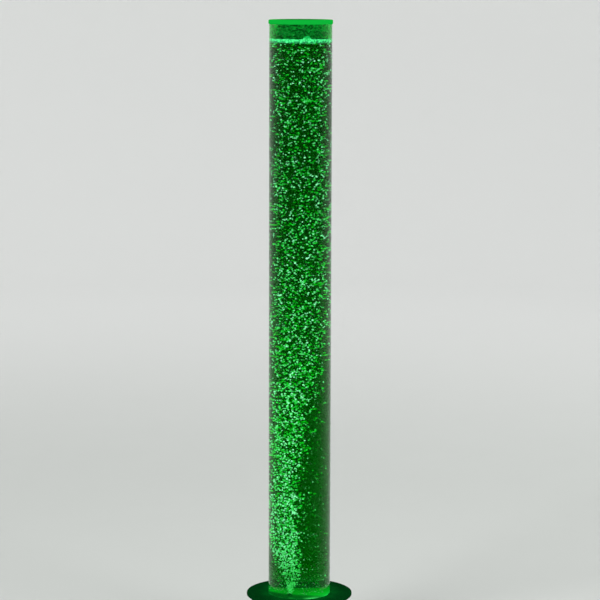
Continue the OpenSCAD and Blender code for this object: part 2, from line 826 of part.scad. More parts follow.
module pump_mounts() {
    color([0.08, 0.08, 0.08]) pump_corners() translate([0, 0, cover_top]) {
        difference() {
            rotate_extrude($fn = 48) polygon([
                [1.5 + fit, 0], [5, 0], [5, 1.5], [3.6, 3], [5, 4.5], [5, mount_h], [1.5 + fit, mount_h]]);
            translate([0, 0, -1]) cylinder(r = 1.5 + fit, h = mount_h + 2, $fn = 32);
        }
    }
}

module pump_screws() {
    color("silver") pump_corners() translate([0, 0, foot_h])
        screw(3, cover_t + mount_h + bracket_t, 6, 2);
}

// Check valve lies in the air line, in front of the pump
check_x = 16;
check_l = 16;
module check_valve() {
    color([0.85, 0.88, 0.9]) translate([check_x, pump_y, outlet_z]) rotate([0, 90, 0]) {
        translate([0, 0, -check_l / 2]) cylinder(r = 5, h = check_l, $fn = 64);
        translate([0, 0, -3]) cylinder(r = 9, h = 6, $fn = 64);
        translate([0, 0, check_l / 2]) barb(air_barb_r, 8);
        rotate([180, 0, 0]) translate([0, 0, check_l / 2]) barb(air_barb_r, 8);
    }
}

// Two lengths of hose: pump to check valve, and check valve to nozzle
air_lift = led_low - 9;
module air_hose() {
    first = [
        [head_end, pump_y, outlet_z], [head_end + 8, pump_y, outlet_z],
        [check_x - check_l / 2 - 8, pump_y, outlet_z], [check_x - check_l / 2, pump_y, outlet_z]];
    second = [
        [check_x + check_l / 2, pump_y, outlet_z],
        [check_x + check_l / 2 + 8, pump_y, outlet_z],
        [check_x + check_l / 2 + 16, pump_y, outlet_z],
        [check_x + 34, pump_y - 6, outlet_z + 3],
        [check_x + 38, pump_y - 18, (outlet_z + air_lift) / 2],
        [check_x + 26, pump_y - 30, air_lift - 6],
        [check_x + 4, pump_y - 32, air_lift - 4],
        [nozzle_x + 16, nozzle_y - 34, air_lift - 8],
        [nozzle_x + 1, nozzle_y - 22, air_lift - 14],
        [nozzle_x, nozzle_y - 7, air_lift - 11],
        [nozzle_x, nozzle_y, air_lift],
        [nozzle_x, nozzle_y, air_lift + 9],
        [nozzle_x, nozzle_y, nozzle_low]];
    color([0.8, 0.85, 0.82]) {
        hose(smooth(first, 2), air_hose_d / 2, hose_wall, [0, 0, 1], air_sides);
        hose(smooth(second, 3), air_hose_d / 2, hose_wall, [0.3, 0.5, 0.1], air_sides);
    }
}

// a hose through points, open at both ends
module hose(p, r, wall, side, n) {
    difference() {
        sweep(p, r, side, n);
        sweep(longer(p), r - wall, side, n);
    }
}
function longer(p) = concat(
    [p[0] - unit(p[1] - p[0])], [for (i = [0:len(p) - 1]) p[i]],
    [p[len(p) - 1] + unit(p[len(p) - 1] - p[len(p) - 2])]);

// ---------- drain ----------

drain_flange = 9;
grate_t = 2;
drain_nut_h = 5;
drain_low = floor_low - washer_t - drain_nut_h - 1;
module drain_fitting() {
    color([0.2, 0.2, 0.2]) translate([drain_x, drain_y, 0]) difference() {
        union() {
            translate([0, 0, plate_top]) cylinder(r = drain_flange, h = grate_t, $fn = 64);
            translate([0, 0, drain_low]) cylinder(r = 6, h = plate_top - drain_low + 1, $fn = 64);
            translate([0, 0, drain_low - 12]) barb(drain_barb_r, 12);
        }
        translate([0, 0, drain_low - 13]) cylinder(r = 3, h = plate_top - drain_low + 12, $fn = 48);
        for (a = [0:60:300]) rotate([0, 0, a]) translate([2.4, 0, drain_low])
            cylinder(r = 0.9, h = 60, $fn = 24);
    }
}

module drain_washer() {
    color([0.1, 0.1, 0.1]) translate([drain_x, drain_y, floor_low - washer_t])
        ring(9, 6 + fit, washer_t, $fn = 64);
}

module drain_nut() {
    color([0.2, 0.2, 0.2]) translate([drain_x, drain_y, floor_low - washer_t - drain_nut_h])
        nut(17, 6 + fit, drain_nut_h);
}

module drain_hose() {
    route = [
        [drain_x, drain_y, drain_low], [drain_x, drain_y, drain_low - 10],
        [drain_x, drain_y, drain_low - 20],
        [drain_x + 1, drain_y + 3, drain_low - 32],
        [(drain_x + valve_x) / 2 + 1, drain_y + 12, valve_z + 5],
        [valve_x - 1, drain_y + 24, valve_z],
        [valve_x, tail_y - 12, valve_z],
        [valve_x, tail_y, valve_z],
        [valve_x, tail_y + 12, valve_z]];
    color([0.75, 0.85, 0.8]) hose(smooth(route, 3), drain_hose_d / 2, hose_wall, [1, 0, 0], drain_sides);
}

// ---------- drain valve: body, tail, seats, ball and lever ----------

module valve_body() {
    color([0.85, 0.7, 0.35]) difference() {
        union() {
            along_y(valve_x, panel_y, valve_z) cylinder(r = valve_r, h = valve_front - panel_y, $fn = 8);
            along_y(valve_x, panel_in - 6, valve_z) cylinder(r = thread_r, h = panel_t + 7, $fn = 64);
            along_y(valve_x, valve_front - 0.5, valve_z) spout();
            translate([valve_x, ball_y, valve_z]) cylinder(r = 5, h = lever_z - valve_z - 0.4, $fn = 48);
        }
        along_y(valve_x, panel_in - 7, valve_z)
            cylinder(r = chamber_r, h = ball_y + ball_r + seat_back - panel_in + 7, $fn = 64);
        along_y(valve_x, panel_in, valve_z) cylinder(r = way_r, h = 60, $fn = 48);
        translate([valve_x, ball_y, valve_z]) cylinder(r = stem_r + fit, h = 30, $fn = 48);
    }
}

seat_back = 0.6;
seat_in = 3.4;
spout_l = 8;
module spout() {
    cylinder(r = 4.8, h = spout_l, $fn = 48);
    for (k = [0:1]) translate([0, 0, spout_l - 3.2 - k * 3.4])
        cylinder(r1 = 5.6, r2 = 4.8, h = 2.6, $fn = 48);
}

module valve_seats() {
    color("white") difference() {
        for (s = [-1, 1]) translate([valve_x, ball_y + s * (ball_r + seat_back + seat_in) / 2, valve_z])
            rotate([90, 0, 0]) translate([0, 0, -(ball_r + seat_back - seat_in) / 2])
            ring(chamber_r - fit, way_r, ball_r + seat_back - seat_in, $fn = 64);
        translate([valve_x, ball_y, valve_z]) sphere(r = ball_r + fit, $fn = 96);
    }
}

module valve_tail() {
    front = ball_y - ball_r - seat_back;
    color([0.85, 0.7, 0.35]) difference() {
        union() {
            along_y(valve_x, panel_in - 9, valve_z)
                cylinder(r = chamber_r - fit, h = front - panel_in + 9, $fn = 64);
            along_y(valve_x, panel_in - 9, valve_z) cylinder(r = thread_r, h = 3, $fn = 6);
            along_y(valve_x, tail_y, valve_z) tail_barb(panel_in - 9 - tail_y);
        }
        along_y(valve_x, tail_y - 1, valve_z) cylinder(r = way_r, h = 60, $fn = 48);
    }
}

// barb whose ridges fall towards the hose's end, from z = 0 up
module tail_barb(len) {
    r = drain_barb_r;
    cylinder(r = r * 0.82, h = len, $fn = 40);
    for (k = [0:2]) translate([0, 0, k * len * 0.3])
        cylinder(r1 = r * 0.82, r2 = r, h = len * 0.22, $fn = 40);
}

module valve_ball() {
    color("silver") translate([valve_x, ball_y, valve_z]) difference() {
        sphere(r = ball_r, $fn = 96);
        rotate([0, 90, 0]) cylinder(r = way_r, h = 3 * ball_r, center = true, $fn = 48);
        translate([-3, -1 - fit, ball_r - 2]) cube([6, 2 + 2 * fit, 4]);
    }
}

// Stem with a tongue in the ball's slot, and a flat lever with a rounded end, closed
module valve_lever() {
    color([0.75, 0.1, 0.08]) translate([valve_x, ball_y, 0]) {
        translate([0, 0, valve_z + ball_r + 0.1])
            cylinder(r = stem_r, h = lever_z + 3 - valve_z - ball_r, $fn = 48);
        translate([-1.5, -1, valve_z + ball_r - 1.9]) cube([3, 2, 3]);
        translate([0, 0, lever_z]) linear_extrude(3) difference() {
            union() {
                circle(r = 5.5, $fn = 48);
                translate([-lever_l, -3.5]) square([lever_l, 7]);
                translate([-lever_l, 0]) circle(r = 5, $fn = 48);
            }
            translate([-lever_l, 0]) circle(r = 1.6, $fn = 32);
        }
    }
}

module valve_nut() {
    color([0.85, 0.7, 0.35]) along_y(valve_x, panel_in - 4, valve_z) nut(valve_nut_w, thread_r + fit, 4);
}

// ---------- leads ----------

// a lead that leaves a place along a direction and drops on a plug of the board
module board_lead(from, along, plug, r, side) {
    to = [board_x, board_y, board_top + plug_h] + plug;
    near = from + 8 * along;
    over = to + [0, 0, 11];
    sweep(smooth([from, from + 4 * along, near, (near + over) / 2, over, to + [0, 0, 5], to], 3),
        r, side);
}

module inlet_lead() {
    color([0.1, 0.1, 0.1]) board_lead([inlet_x, panel_y - inlet_l, panel_z], [0, -1, 0],
        [plug_row[0], plug_y, 0], 1.6, [1, 0.2, 0.1]);
}

module switch_lead() {
    color([0.5, 0.1, 0.1]) board_lead([switch_x - blade_x, panel_y - blade_back, panel_z], [0, -1, 0],
        [plug_row[1], plug_y, 0], 1.4, [1, 0.2, 0.1]);
}

module button_lead() {
    color([0.8, 0.8, 0.2]) board_lead([button_x, panel_y - sleeve_l, panel_z], [0, -1, 0],
        [plug_row[2], plug_y, 0], 1.2, [1, 0.2, 0.1]);
}

module led_lead() {
    color([0.85, 0.85, 0.85]) board_lead([14 - light_r, 8, led_low], [0, 0, -1],
        [side_plug_x, side_plug_y, 0], 1.4, [0, 1, 0.1]);
}

module pump_lead() {
    back = pump_x - motor_l - 2;
    low = board_top + 3;
    color([0.5, 0.1, 0.1]) sweep(smooth([
        [back, pump_y, pump_z], [back - 3, pump_y, pump_z], [back - 6, pump_y, pump_z],
        [back - 8, pump_y + 18, pump_z - 2],
        [board_x - 34, board_y + side_plug_y - 18, (pump_z + low) / 2 + 3],
        [board_x - 30, board_y + side_plug_y, low], [board_x - 27, board_y + side_plug_y, low],
        [board_x - 24, board_y + side_plug_y, low]], 3), 1.2, [0, 0, 1]);
}

tube();
lid();
lid_seal();
tube_floor();
water_column();
bubbles();
air_nozzle();
top_plate();
drum();
plate_screws();
tube_socket();
tube_seal();
socket_screws();
base_cover();
cover_screws();
rubber_feet();
rear_panel();
panel_screws();
dc_inlet();
inlet_nut();
switch_body();
switch_rocker();
button_sleeve();
button_nut();
mode_button();
control_board();
board_parts();
board_screws();
led_board();
leds();
led_spacers();
led_screws();
nozzle_washer();
nozzle_nut();
air_hose();
check_valve();
pump_motor();
pump_head();
pump_bracket();
pump_mounts();
pump_screws();
drain_fitting();
drain_washer();
drain_nut();
drain_hose();
valve_body();
valve_tail();
valve_seats();
valve_ball();
valve_lever();
valve_nut();
inlet_lead();
switch_lead();
button_lead();
led_lead();
pump_lead();
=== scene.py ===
"""Bubble tube floor lamp: the visible lamp, dressed round its CAD frame.

Laid out as a Blender add-on and run as a script. Every length is in metres, in the
frame of the CAD model: +Z up, the origin on the floor under the tube, -Y the front.
"""

import math

import bpy
import numpy as np
from mathutils import Matrix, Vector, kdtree


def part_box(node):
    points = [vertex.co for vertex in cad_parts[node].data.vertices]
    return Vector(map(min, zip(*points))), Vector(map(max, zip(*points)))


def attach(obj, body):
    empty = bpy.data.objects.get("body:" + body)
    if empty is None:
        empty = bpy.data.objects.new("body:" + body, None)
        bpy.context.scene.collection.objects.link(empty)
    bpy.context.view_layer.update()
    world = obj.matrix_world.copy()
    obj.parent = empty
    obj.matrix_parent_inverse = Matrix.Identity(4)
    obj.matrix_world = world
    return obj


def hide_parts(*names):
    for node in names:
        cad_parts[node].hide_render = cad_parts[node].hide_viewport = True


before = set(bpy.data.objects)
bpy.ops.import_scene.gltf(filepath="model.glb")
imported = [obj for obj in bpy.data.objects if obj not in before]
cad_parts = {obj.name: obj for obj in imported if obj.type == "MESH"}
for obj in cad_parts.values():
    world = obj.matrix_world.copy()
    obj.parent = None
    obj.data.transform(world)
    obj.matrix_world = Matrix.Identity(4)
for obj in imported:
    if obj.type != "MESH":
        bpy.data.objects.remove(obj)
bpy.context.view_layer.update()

bl_info = {
    "name": "Bubble Tube Floor Lamp",
    "version": (1, 0, 0),
    "blender": (4, 5, 0),
    "location": "3D View > Sidebar > Bubble Lamp",
    "description": "Fills and finishes a bubble tube floor lamp: water, bubbles, foam and base",
    "category": "Object",
}

# ---------- places taken from the frame ----------

tube_low, tube_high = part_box("tube")
water_low, water_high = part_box("water_column")
nozzle_low, nozzle_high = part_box("air_nozzle")
parts_low, parts_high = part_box("board_parts")
lens_low, lens_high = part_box("leds")

MM = 0.001
TUBE_R = tube_high.x
# The solid water stands 0.05 mm clear of the bore
BORE_R = water_high.x + 0.05 * MM
FLOOR_Z = water_low.z
WATER_Z = water_high.z
NOZZLE_X = (nozzle_low.x + nozzle_high.x) / 2
NOZZLE_Y = (nozzle_low.y + nozzle_high.y) / 2


# ---------- meshes ----------

def piece_from(name, points, quads, triangles=None, sharp=35.0):
    """A mesh piece from whole arrays of points, four-sided and three-sided faces.

    It is smooth except at edges that turn by more than `sharp` degrees.
    """
    loops = np.asarray(quads).ravel()
    sizes = np.full(len(quads), 4)
    if triangles is not None and len(triangles):
        loops = np.concatenate([loops, np.asarray(triangles).ravel()])
        sizes = np.concatenate([sizes, np.full(len(triangles), 3)])
    starts = np.concatenate([[0], np.cumsum(sizes)[:-1]])
    mesh = bpy.data.meshes.new(name)
    mesh.vertices.add(len(points))
    mesh.vertices.foreach_set("co", np.asarray(points, np.float32).ravel())
    mesh.loops.add(len(loops))
    mesh.loops.foreach_set("vertex_index", loops.astype(np.int32))
    mesh.polygons.add(len(sizes))
    mesh.polygons.foreach_set("loop_start", starts.astype(np.int32))
    mesh.update(calc_edges=True)
    mesh.validate()
    mesh.shade_smooth()
    mesh.set_sharp_from_angle(angle=math.radians(sharp))
    piece = bpy.data.objects.new(name, mesh)
    bpy.context.scene.collection.objects.link(piece)
    return piece


def net(rows, columns, round_rows=False):
    """Four-sided faces of a grid whose columns run round, and whose rows may too."""
    i = np.arange(rows if round_rows else rows - 1)[:, None]
    j = np.arange(columns)[None, :]
    up, across = (i + 1) % rows, (j + 1) % columns
    corners = [i * columns + j, i * columns + across, up * columns + across, up * columns + j]
    return np.stack(np.broadcast_arrays(*corners), -1).reshape(-1, 4)


def pole_caps(rings, sides):
    """Three-sided faces that close a grid's first and last ring to the two points after it."""
    j = np.arange(sides)
    beside = (j + 1) % sides
    first_pole, last_pole = np.full(sides, rings * sides), np.full(sides, rings * sides + 1)
    last = (rings - 1) * sides
    return np.concatenate([np.stack([first_pole, beside, j], -1),
                           np.stack([last_pole, last + j, last + beside], -1)])


def turned_ring(name, profile, sides):
    """A closed ring: point (r, z) of the profile goes to (r cos a, r sin a, z) at each angle a.

    The profile runs anticlockwise in (r, z), so the faces look outwards.
    """
    profile = np.asarray(profile, float)
    angle = np.arange(sides) * 2 * np.pi / sides
    r, z = profile[:, :1], profile[:, 1:]
    points = np.stack([r * np.cos(angle), r * np.sin(angle), z + 0 * angle], -1)
    return piece_from(name, points.reshape(-1, 3), net(len(profile), sides, True))


def turned_solid(name, radius, height, sides, sharp=35.0):
    """A closed solid of revolution about Z with a pole at each end.

    radius and height are arrays with one row for each step from the lower pole to the
    upper pole, and either one column or one for each side, so a rim may be wavy.
    """
    angle = np.arange(sides) * 2 * np.pi / sides
    radius = np.broadcast_to(radius, (len(radius), sides))
    height = np.broadcast_to(height, (len(height), sides))
    points = np.stack([radius * np.cos(angle), radius * np.sin(angle), height], -1)
    poles = np.array([[0, 0, height[0].mean()], [0, 0, height[-1].mean()]])
    rows = len(points)
    points = np.concatenate([points.reshape(-1, 3), poles])
    return piece_from(name, points, net(rows, sides), pole_caps(rows, sides), sharp)


def bead(rings, sides):
    """A unit ball: rings of (sin t cos a, sin t sin a, cos t) between two poles."""
    t = np.pi * (1 - np.arange(1, rings + 1) / (rings + 1))[:, None]
    a = np.arange(sides) * 2 * np.pi / sides
    ball = np.stack([np.sin(t) * np.cos(a), np.sin(t) * np.sin(a), np.cos(t) + 0 * a], -1)
    points = np.concatenate([ball.reshape(-1, 3), [[0, 0, -1], [0, 0, 1]]])
    return points, net(rings, sides), pole_caps(rings, sides)


def tips(rng, count, most):
    """Rotation matrices that tip +Z by up to `most` degrees towards an even choice of sides.

    The matrix is I + sin(t) K + (1 - cos(t)) K K, K being the cross matrix of the axis.
    """
    side = rng.uniform(0, 2 * np.pi, count)
    tilt = np.radians(most) * rng.uniform(0, 1, count)
    cross = np.zeros((count, 3, 3))
    cross[:, 0, 2], cross[:, 1, 2] = np.sin(side), -np.cos(side)
    cross[:, 2, 0], cross[:, 2, 1] = -np.sin(side), np.cos(side)
    sine, rest = np.sin(tilt)[:, None, None], (1 - np.cos(tilt))[:, None, None]
    return np.eye(3) + sine * cross + rest * (cross @ cross)


def swarm(name, centres, radii, scale, tilt, glow, rings=3, sides=8):
    """Beads in one mesh: centre + radius * tilt (scale * unit ball), as one array.

    The attribute "glow" is each bead's painted light, a little higher at its top and foot.
    """
    ball, quads, caps = bead(rings, sides)
    shaped = np.einsum("nij,nkj->nki", tilt, ball[None] * scale[:, None, :])
    points = centres[:, None, :] + radii[:, None, None] * shaped
    step = (np.arange(len(centres)) * len(ball))[:, None, None]
    piece = piece_from(name, points.reshape(-1, 3), (quads + step).reshape(-1, 4),
                       (caps + step).reshape(-1, 3), 180.0)
    painted_glow = glow[:, None] * (0.72 + 0.28 * ball[None, :, 2] ** 2)
    store = piece.data.attributes.new("glow", "FLOAT", "POINT")
    store.data.foreach_set("value", painted_glow.astype(np.float32).ravel())
    return piece


def ripple(points, scale, seed):
    """Smooth noise in -1..1: the mean of six sine waves of random heading and phase."""
    rng = np.random.default_rng(seed)
    heading = rng.normal(size=(6, 3))
    heading *= scale / np.linalg.norm(heading, axis=1)[:, None]
    return np.sin(points @ heading.T + rng.uniform(0, 2 * np.pi, 6)).mean(1) * 1.6


def apart(centres, radii, closeness):
    """Which beads to keep, in order, so that none sinks into one kept before it."""
    tree = kdtree.KDTree(len(centres))
    for i, place in enumerate(centres):
        tree.insert(place, i)
    tree.balance()
    kept = np.zeros(len(centres), bool)
    widest = radii.max()
    for i, place in enumerate(centres):
        near = tree.find_range(place, (radii[i] + widest) * closeness)
        kept[i] = not any(
            kept[k] and gap < (radii[i] + radii[k]) * closeness for _, k, gap in near)
    return kept


# ---------- materials ----------

class Value:
    """A socket that takes part in Python sums; each operator adds one Math node."""

    def __init__(self, finish, socket):
        self.finish, self.socket = finish, socket

    def math(self, operation, first, second):
        return self.finish.node("ShaderNodeMath", {"operation": operation}, {0: first, 1: second})

    def __add__(self, other):
        return self.math("ADD", self, other)

    def __sub__(self, other):
        return self.math("SUBTRACT", self, other)

    def __rsub__(self, other):
        return self.math("SUBTRACT", other, self)

    def __mul__(self, other):
        return self.math("MULTIPLY", self, other)

    def __pow__(self, other):
        return self.math("POWER", self, other)

    def __gt__(self, other):
        return self.math("GREATER_THAN", self, other)

    def __lt__(self, other):
        return self.math("LESS_THAN", self, other)

    __radd__, __rmul__ = __add__, __mul__


class Finish:
    """One material. node() adds any node, and set() feeds the Principled shader."""

    def __init__(self, name):
        self.material = bpy.data.materials.new(name)
        self.material.use_nodes = True
        self.tree = self.material.node_tree
        self.shader = self.tree.nodes["Principled BSDF"]

    def node(self, kind, settings=None, inputs=None, output=0):
        """Adds a node: its settings first, then the values or links of its sockets."""
        made = self.tree.nodes.new(kind)
        for key, value in (settings or {}).items():
            setattr(made, key, value)
        for key, value in (inputs or {}).items():
            self.feed(made.inputs[key], value)
        return Value(self, made.outputs[output])

    def feed(self, socket, value):
        if isinstance(value, Value):
            self.tree.links.new(value.socket, socket)
        elif isinstance(value, tuple) and socket.type == "RGBA":
            socket.default_value = (*value[:3], 1)
        else:
            socket.default_value = value

    def set(self, **sockets):
        """Feeds the shader: set(base_color=..., roughness=...) and so on."""
        for key, value in sockets.items():
            words = {"ior": "IOR", "specular": "Specular IOR Level", "tint": "Specular Tint",
                     "transmission": "Transmission Weight", "coat": "Coat Weight",
                     "coat_roughness": "Coat Roughness", "bump": "Normal"}
            self.feed(self.shader.inputs[words.get(key, key.replace("_", " ").title())], value)
        return self

    def place(self):
        """Object coordinates, which stay with the piece."""
        return self.node("ShaderNodeTexCoord", output="Object")

    def axes(self):
        """The three object coordinates, as numbers."""
        split = self.node("ShaderNodeSeparateXYZ", inputs={0: self.place()}).socket.node
        return [Value(self, socket) for socket in split.outputs]

    def glow(self):
        """The brightness that swarm() stores on its beads."""
        return self.node("ShaderNodeAttribute", {"attribute_name": "glow"}, output="Fac")

    def stretched(self, scale):
        """Object coordinates, scaled by a different amount along each axis."""
        return self.node("ShaderNodeMapping", inputs={"Vector": self.place(), "Scale": scale})

    def noise(self, scale, detail=3.0, rough=0.55, vector=None):
        return self.node("ShaderNodeTexNoise", inputs={
            "Vector": vector or self.place(), "Scale": scale, "Detail": detail, "Roughness": rough})

    def cells(self, scale, feature="F1"):
        return self.node("ShaderNodeTexVoronoi", {"feature": feature},
                         {"Vector": self.place(), "Scale": scale}, "Distance")

    def ramp(self, value, low, high):
        """0 below low and 1 above high, smooth between them."""
        return self.node("ShaderNodeMapRange", {"interpolation_type": "SMOOTHSTEP"},
                         {"Value": value, "From Min": low, "From Max": high})

    def between(self, value, low, high):
        """low where the value is 0, high where it is 1."""
        return self.node("ShaderNodeMapRange", {}, {"Value": value, "To Min": low, "To Max": high})

    def mix(self, mask, first, second):
        """A colour between two, by a mask."""
        return self.node("ShaderNodeMix", {"data_type": "RGBA"}, {0: mask, 6: first, 7: second}, 2)

    def bump(self, height, strength, distance):
        return self.node("ShaderNodeBump", inputs={
            "Height": height, "Strength": strength, "Distance": distance}, output="Normal")


def dress(node, finish):
    """Gives a CAD node its finish."""
    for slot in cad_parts[node].material_slots:
        slot.material = finish.material


def place_piece(piece, finish, body="base"):
    """A new piece: its finish and the body it rides on."""
    piece.data.materials.append(finish.material)
    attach(piece, body)
    return piece


# ---------- settings ----------

def length(name, description, default):
    return bpy.props.FloatProperty(name=name, description=description, default=default,
                                   min=0.0, unit="LENGTH", precision=4)


def colour(name, description, default):
    return bpy.props.FloatVectorProperty(name=name, description=description, default=default,
                                         size=3, min=0.0, max=1.0, subtype="COLOR")


def number(name, description, default, least=1):
    return bpy.props.IntProperty(name=name, description=description, default=default, min=least)


def angle(name, description, degrees):
    return bpy.props.FloatProperty(name=name, description=description,
                                   default=math.radians(degrees), subtype="ANGLE")


class BubbleWaterSettings(bpy.types.PropertyGroup):
    """Sizes and numbers of what moves in the water."""

    bead_count: number("Bubbles", "Bubbles rising in the water", 7300)
    bead_radius: length("Bubble Radius", "Middle radius of a bubble", 1.85 * MM)
    neck_count: number("Neck Bubbles", "Bubbles in the stream's neck over the nozzle", 300)
    neck_height: length("Neck Height", "Height of the stream's neck", 26 * MM)
    mist_count: number("Fine Bubbles", "Fine bubbles drifting in the water", 3600)
    mist_radius: length("Fine Bubble Radius", "Middle radius of a fine bubble", 0.9 * MM)
    foam_count: number("Foam Bubbles", "Bubbles in the foam on the water", 1700)
    foam_depth: length("Foam Depth", "Depth of the foam below the water line", 5.5 * MM)
    mound_radius: length("Mound Radius", "Radius of the mound in the foam", 9.5 * MM)
    drop_count: number("Drops", "Drops on the wall above the water", 700)
    seed: number("Seed", "Start of the random draws", 12, 0)


class BubbleGlowSettings(bpy.types.PropertyGroup):
    """Colours of the lit parts."""

    bead_bright: colour("Bright Bubbles", "Colour of the brightest bubbles", (0.27, 1.0, 0.47))
    bead_dim: colour("Dim Bubbles", "Colour of the dimmest bubbles", (0.004, 0.08, 0.02))
    # The foam and wet wall colours are painted glow of the lamps' light
    foam_glow: colour("Foam", "Colour of the foam", (0.09, 1.0, 0.32))
    wet_wall_glow: colour("Wet Wall", "Colour of the wet wall above the water", (0.004, 0.42, 0.03))
    lid_colour: colour("Lid", "Glow of the lid's rim", (0.003, 0.46, 0.036))
    floor_colour: colour("Tube Floor", "Glow of the tube's floor", (0.01, 0.72, 0.06))
    water_tint: colour("Water", "Colour that the water lets through", (0.0, 0.82, 0.16))


class BubbleStageSettings(bpy.types.PropertyGroup):
    """Camera, floor and light."""

    camera_back: length("Camera Distance", "Distance from the tube's axis, in front", 5.715)
    camera_height: length("Camera Height", "Height of the camera", 1.622)
    camera_pitch: angle("Camera Pitch", "How far the camera looks down", 7.884)
    camera_roll: angle("Camera Roll", "Turn of the camera about its view", 0.157)
    camera_lens: bpy.props.FloatProperty(
        name="Camera Lens", description="Focal length in millimetres, on a 36 mm sensor",
        default=144.08, unit="CAMERA")
    floor_colour: colour("Floor", "Colour of the floor near the lamp", (0.56, 0.58, 0.56))
    backdrop_colour: colour("Backdrop", "Colour of the backdrop", (0.93, 0.94, 0.93))
    stage_radius: length("Stage Radius", "Radius of the floor with its backdrop", 9.5)
    stage_height: length("Stage Height", "Height of the backdrop", 8.0)
    stage_curve: length("Stage Curve", "Radius of the curve from floor to backdrop", 3.0)
    world_strength: bpy.props.FloatProperty(
        name="World Strength", description="Strength of the even light from all sides",
        default=0.6, min=0.0)


# ---------- tube and water ----------

class LAMP_OT_clear_tube(bpy.types.Operator):
    """Clear tube with polished edges"""

    bl_idname = "lamp.clear_tube"
    bl_label = "Clear Tube"

    def execute(self, context):
        edge, lit_foot = 0.6 * MM, 75 * MM
        low, high = tube_low.z, tube_high.z
        tube = turned_ring("clear_tube", [
            (BORE_R + edge, low), (TUBE_R - edge, low), (TUBE_R, low + edge),
            (TUBE_R, FLOOR_Z), (TUBE_R, WATER_Z), (TUBE_R, high - edge),
            (TUBE_R - edge, high), (BORE_R + edge, high), (BORE_R, high - edge),
            (BORE_R, WATER_Z), (BORE_R, FLOOR_Z), (BORE_R, low + edge)], 256)
        finish = Finish("clear_tube")
        z = finish.axes()[2]
        streak = finish.noise(1.0, 2.0, 0.5, finish.stretched((60, 60, 4)))
        # Painted glow: light from the lamps below, shown in the wall over the 75 mm above the
        # tube's floor and above the water line
        foot = 1 - finish.ramp(z, FLOOR_Z, FLOOR_Z + lit_foot)
        head = finish.ramp(z, WATER_Z - 1 * MM, WATER_Z + 1 * MM)
        painted_glow = foot * 0.6 * (streak + 0.4) + head * 0.45
        finish.set(base_color=finish.mix(streak, (0.93, 1.0, 0.95), (0.97, 1.0, 0.98)),
                   roughness=0.0, ior=1.49, transmission=1.0, tint=(0.04, 0.04, 0.04),
                   emission_color=finish.mix(painted_glow, (0.0, 0.002, 0.0), (0.001, 0.075, 0.008)),
                   emission_strength=1.0)
        place_piece(tube, finish)
        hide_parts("tube")
        return {"FINISHED"}


class LAMP_OT_water(bpy.types.Operator):
    """Column of tinted water, pressed to the wall of the tube"""

    bl_idname = "lamp.water"
    bl_label = "Water"

    def execute(self, context):
        glow = context.scene.bubble_glow
        pressed, lit_up_to, shaded_from = 0.15 * MM, 0.35, 1.3
        ends = np.array([FLOOR_Z - 0.05 * MM, WATER_Z])[:, None]
        water = turned_solid("water", np.full((2, 1), BORE_R + pressed), ends, 256)
        finish = Finish("water")
        z = finish.axes()[2]
        # Painted light: the water lets more light through up to 0.35 m high and less from 1.3 m up,
        # standing in for the lamps' light fading with height
        rise = finish.ramp(z + finish.noise(6.0, 2.0) * 0.15, lit_up_to, shaded_from)
        finish.set(base_color=finish.mix(rise, (0.48, 0.37, 0.48), (0.36, 0.2, 0.36)),
                   roughness=0.0, ior=1.33, transmission=1.0, tint=(0.0, 0.0, 0.0))
        absorb = finish.node("ShaderNodeVolumeAbsorption", inputs={
            "Color": tuple(glow.water_tint), "Density": 50.0})
        finish.feed(finish.tree.nodes["Material Output"].inputs["Volume"], absorb)
        place_piece(water, finish)
        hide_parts("water_column")
        return {"FINISHED"}


# ---------- bubbles ----------

# The rising stream at heights above the tube's floor, in millimetres: how far it reaches to
# the left, right, front and back. CROWD is how thick its bubbles are there and SWELL how
# large, next to the rest. It leaves the nozzle, leans on the left wall and fills the tube
# only far up.
RISE, LEFT, RIGHT, FRONT, BACK, CROWD, SWELL = np.array([
    (0, -19, -14, -30, -24, 3.0, 0.6),
    (8, -21, -12, -31, -23, 2.2, 0.65),
    (25, -25, -7, -36, -18, 1.5, 0.72),
    (40, -30, -3, -42, -12, 1.3, 0.78),
    (60, -38, -1, -50, 0, 1.15, 0.86),
    (80, -49, 1, -58, 10, 1.1, 0.93),
    (105, -64, 2, -66, 22, 1.1, 1.0),
    (150, -70, 3, -70, 36, 1.05, 1.0),
    (220, -70, 5, -70, 50, 1.0, 1.0),
    (330, -70, 8, -70, 70, 0.92, 1.0),
    (450, -70, 25, -70, 70, 0.85, 1.0),
    (600, -70, 38, -70, 70, 0.64, 0.98),
    (740, -70, 54, -70, 70, 0.58, 0.96),
    (860, -70, 70, -70, 70, 0.54, 0.94),
    (1343, -70, 70, -70, 70, 0.47, 0.94),
]).T
# Share of the rows that have one bubble, two bubbles and so on
ROW_SHARES = (0.68, 0.17, 0.09, 0.06)
# Heights above the floor, in metres, between which the stream is thicker in its middle
HEAP_LOW, HEAP_HIGH = 0.07, 0.56
# Height above the floor, in metres, at which the rush has calmed down
CALM_HEIGHT = 0.5
# Heights above the floor, in metres, that part the bubbles into three pieces
PART_HEIGHTS = (0.0, 0.36, 0.78, 9.0)
# Height above the floor, in metres, from which fewer bubbles rise along the axis
HOLLOW_HEIGHT = 0.1


def at_height(height, table):
    """Value of a table at heights above the tube's floor, straight between its rows."""
    return np.interp(height / MM, RISE, table)


def chained(rng, starts, steps, count):
    """Places in short crooked rows: each start, then steps that keep their heading.

    Row k of a chain is start + k * step, bent by a random part of the step.
    """
    k = np.arange(count)[None, :, None]
    bend = np.cumsum(rng.normal(0, 0.45, (len(starts), count, 3)), axis=1)
    size = np.linalg.norm(steps, axis=1)[:, None, None]
    return (starts[:, None, :] + k * steps[:, None, :] + bend * size).reshape(-1, 3)


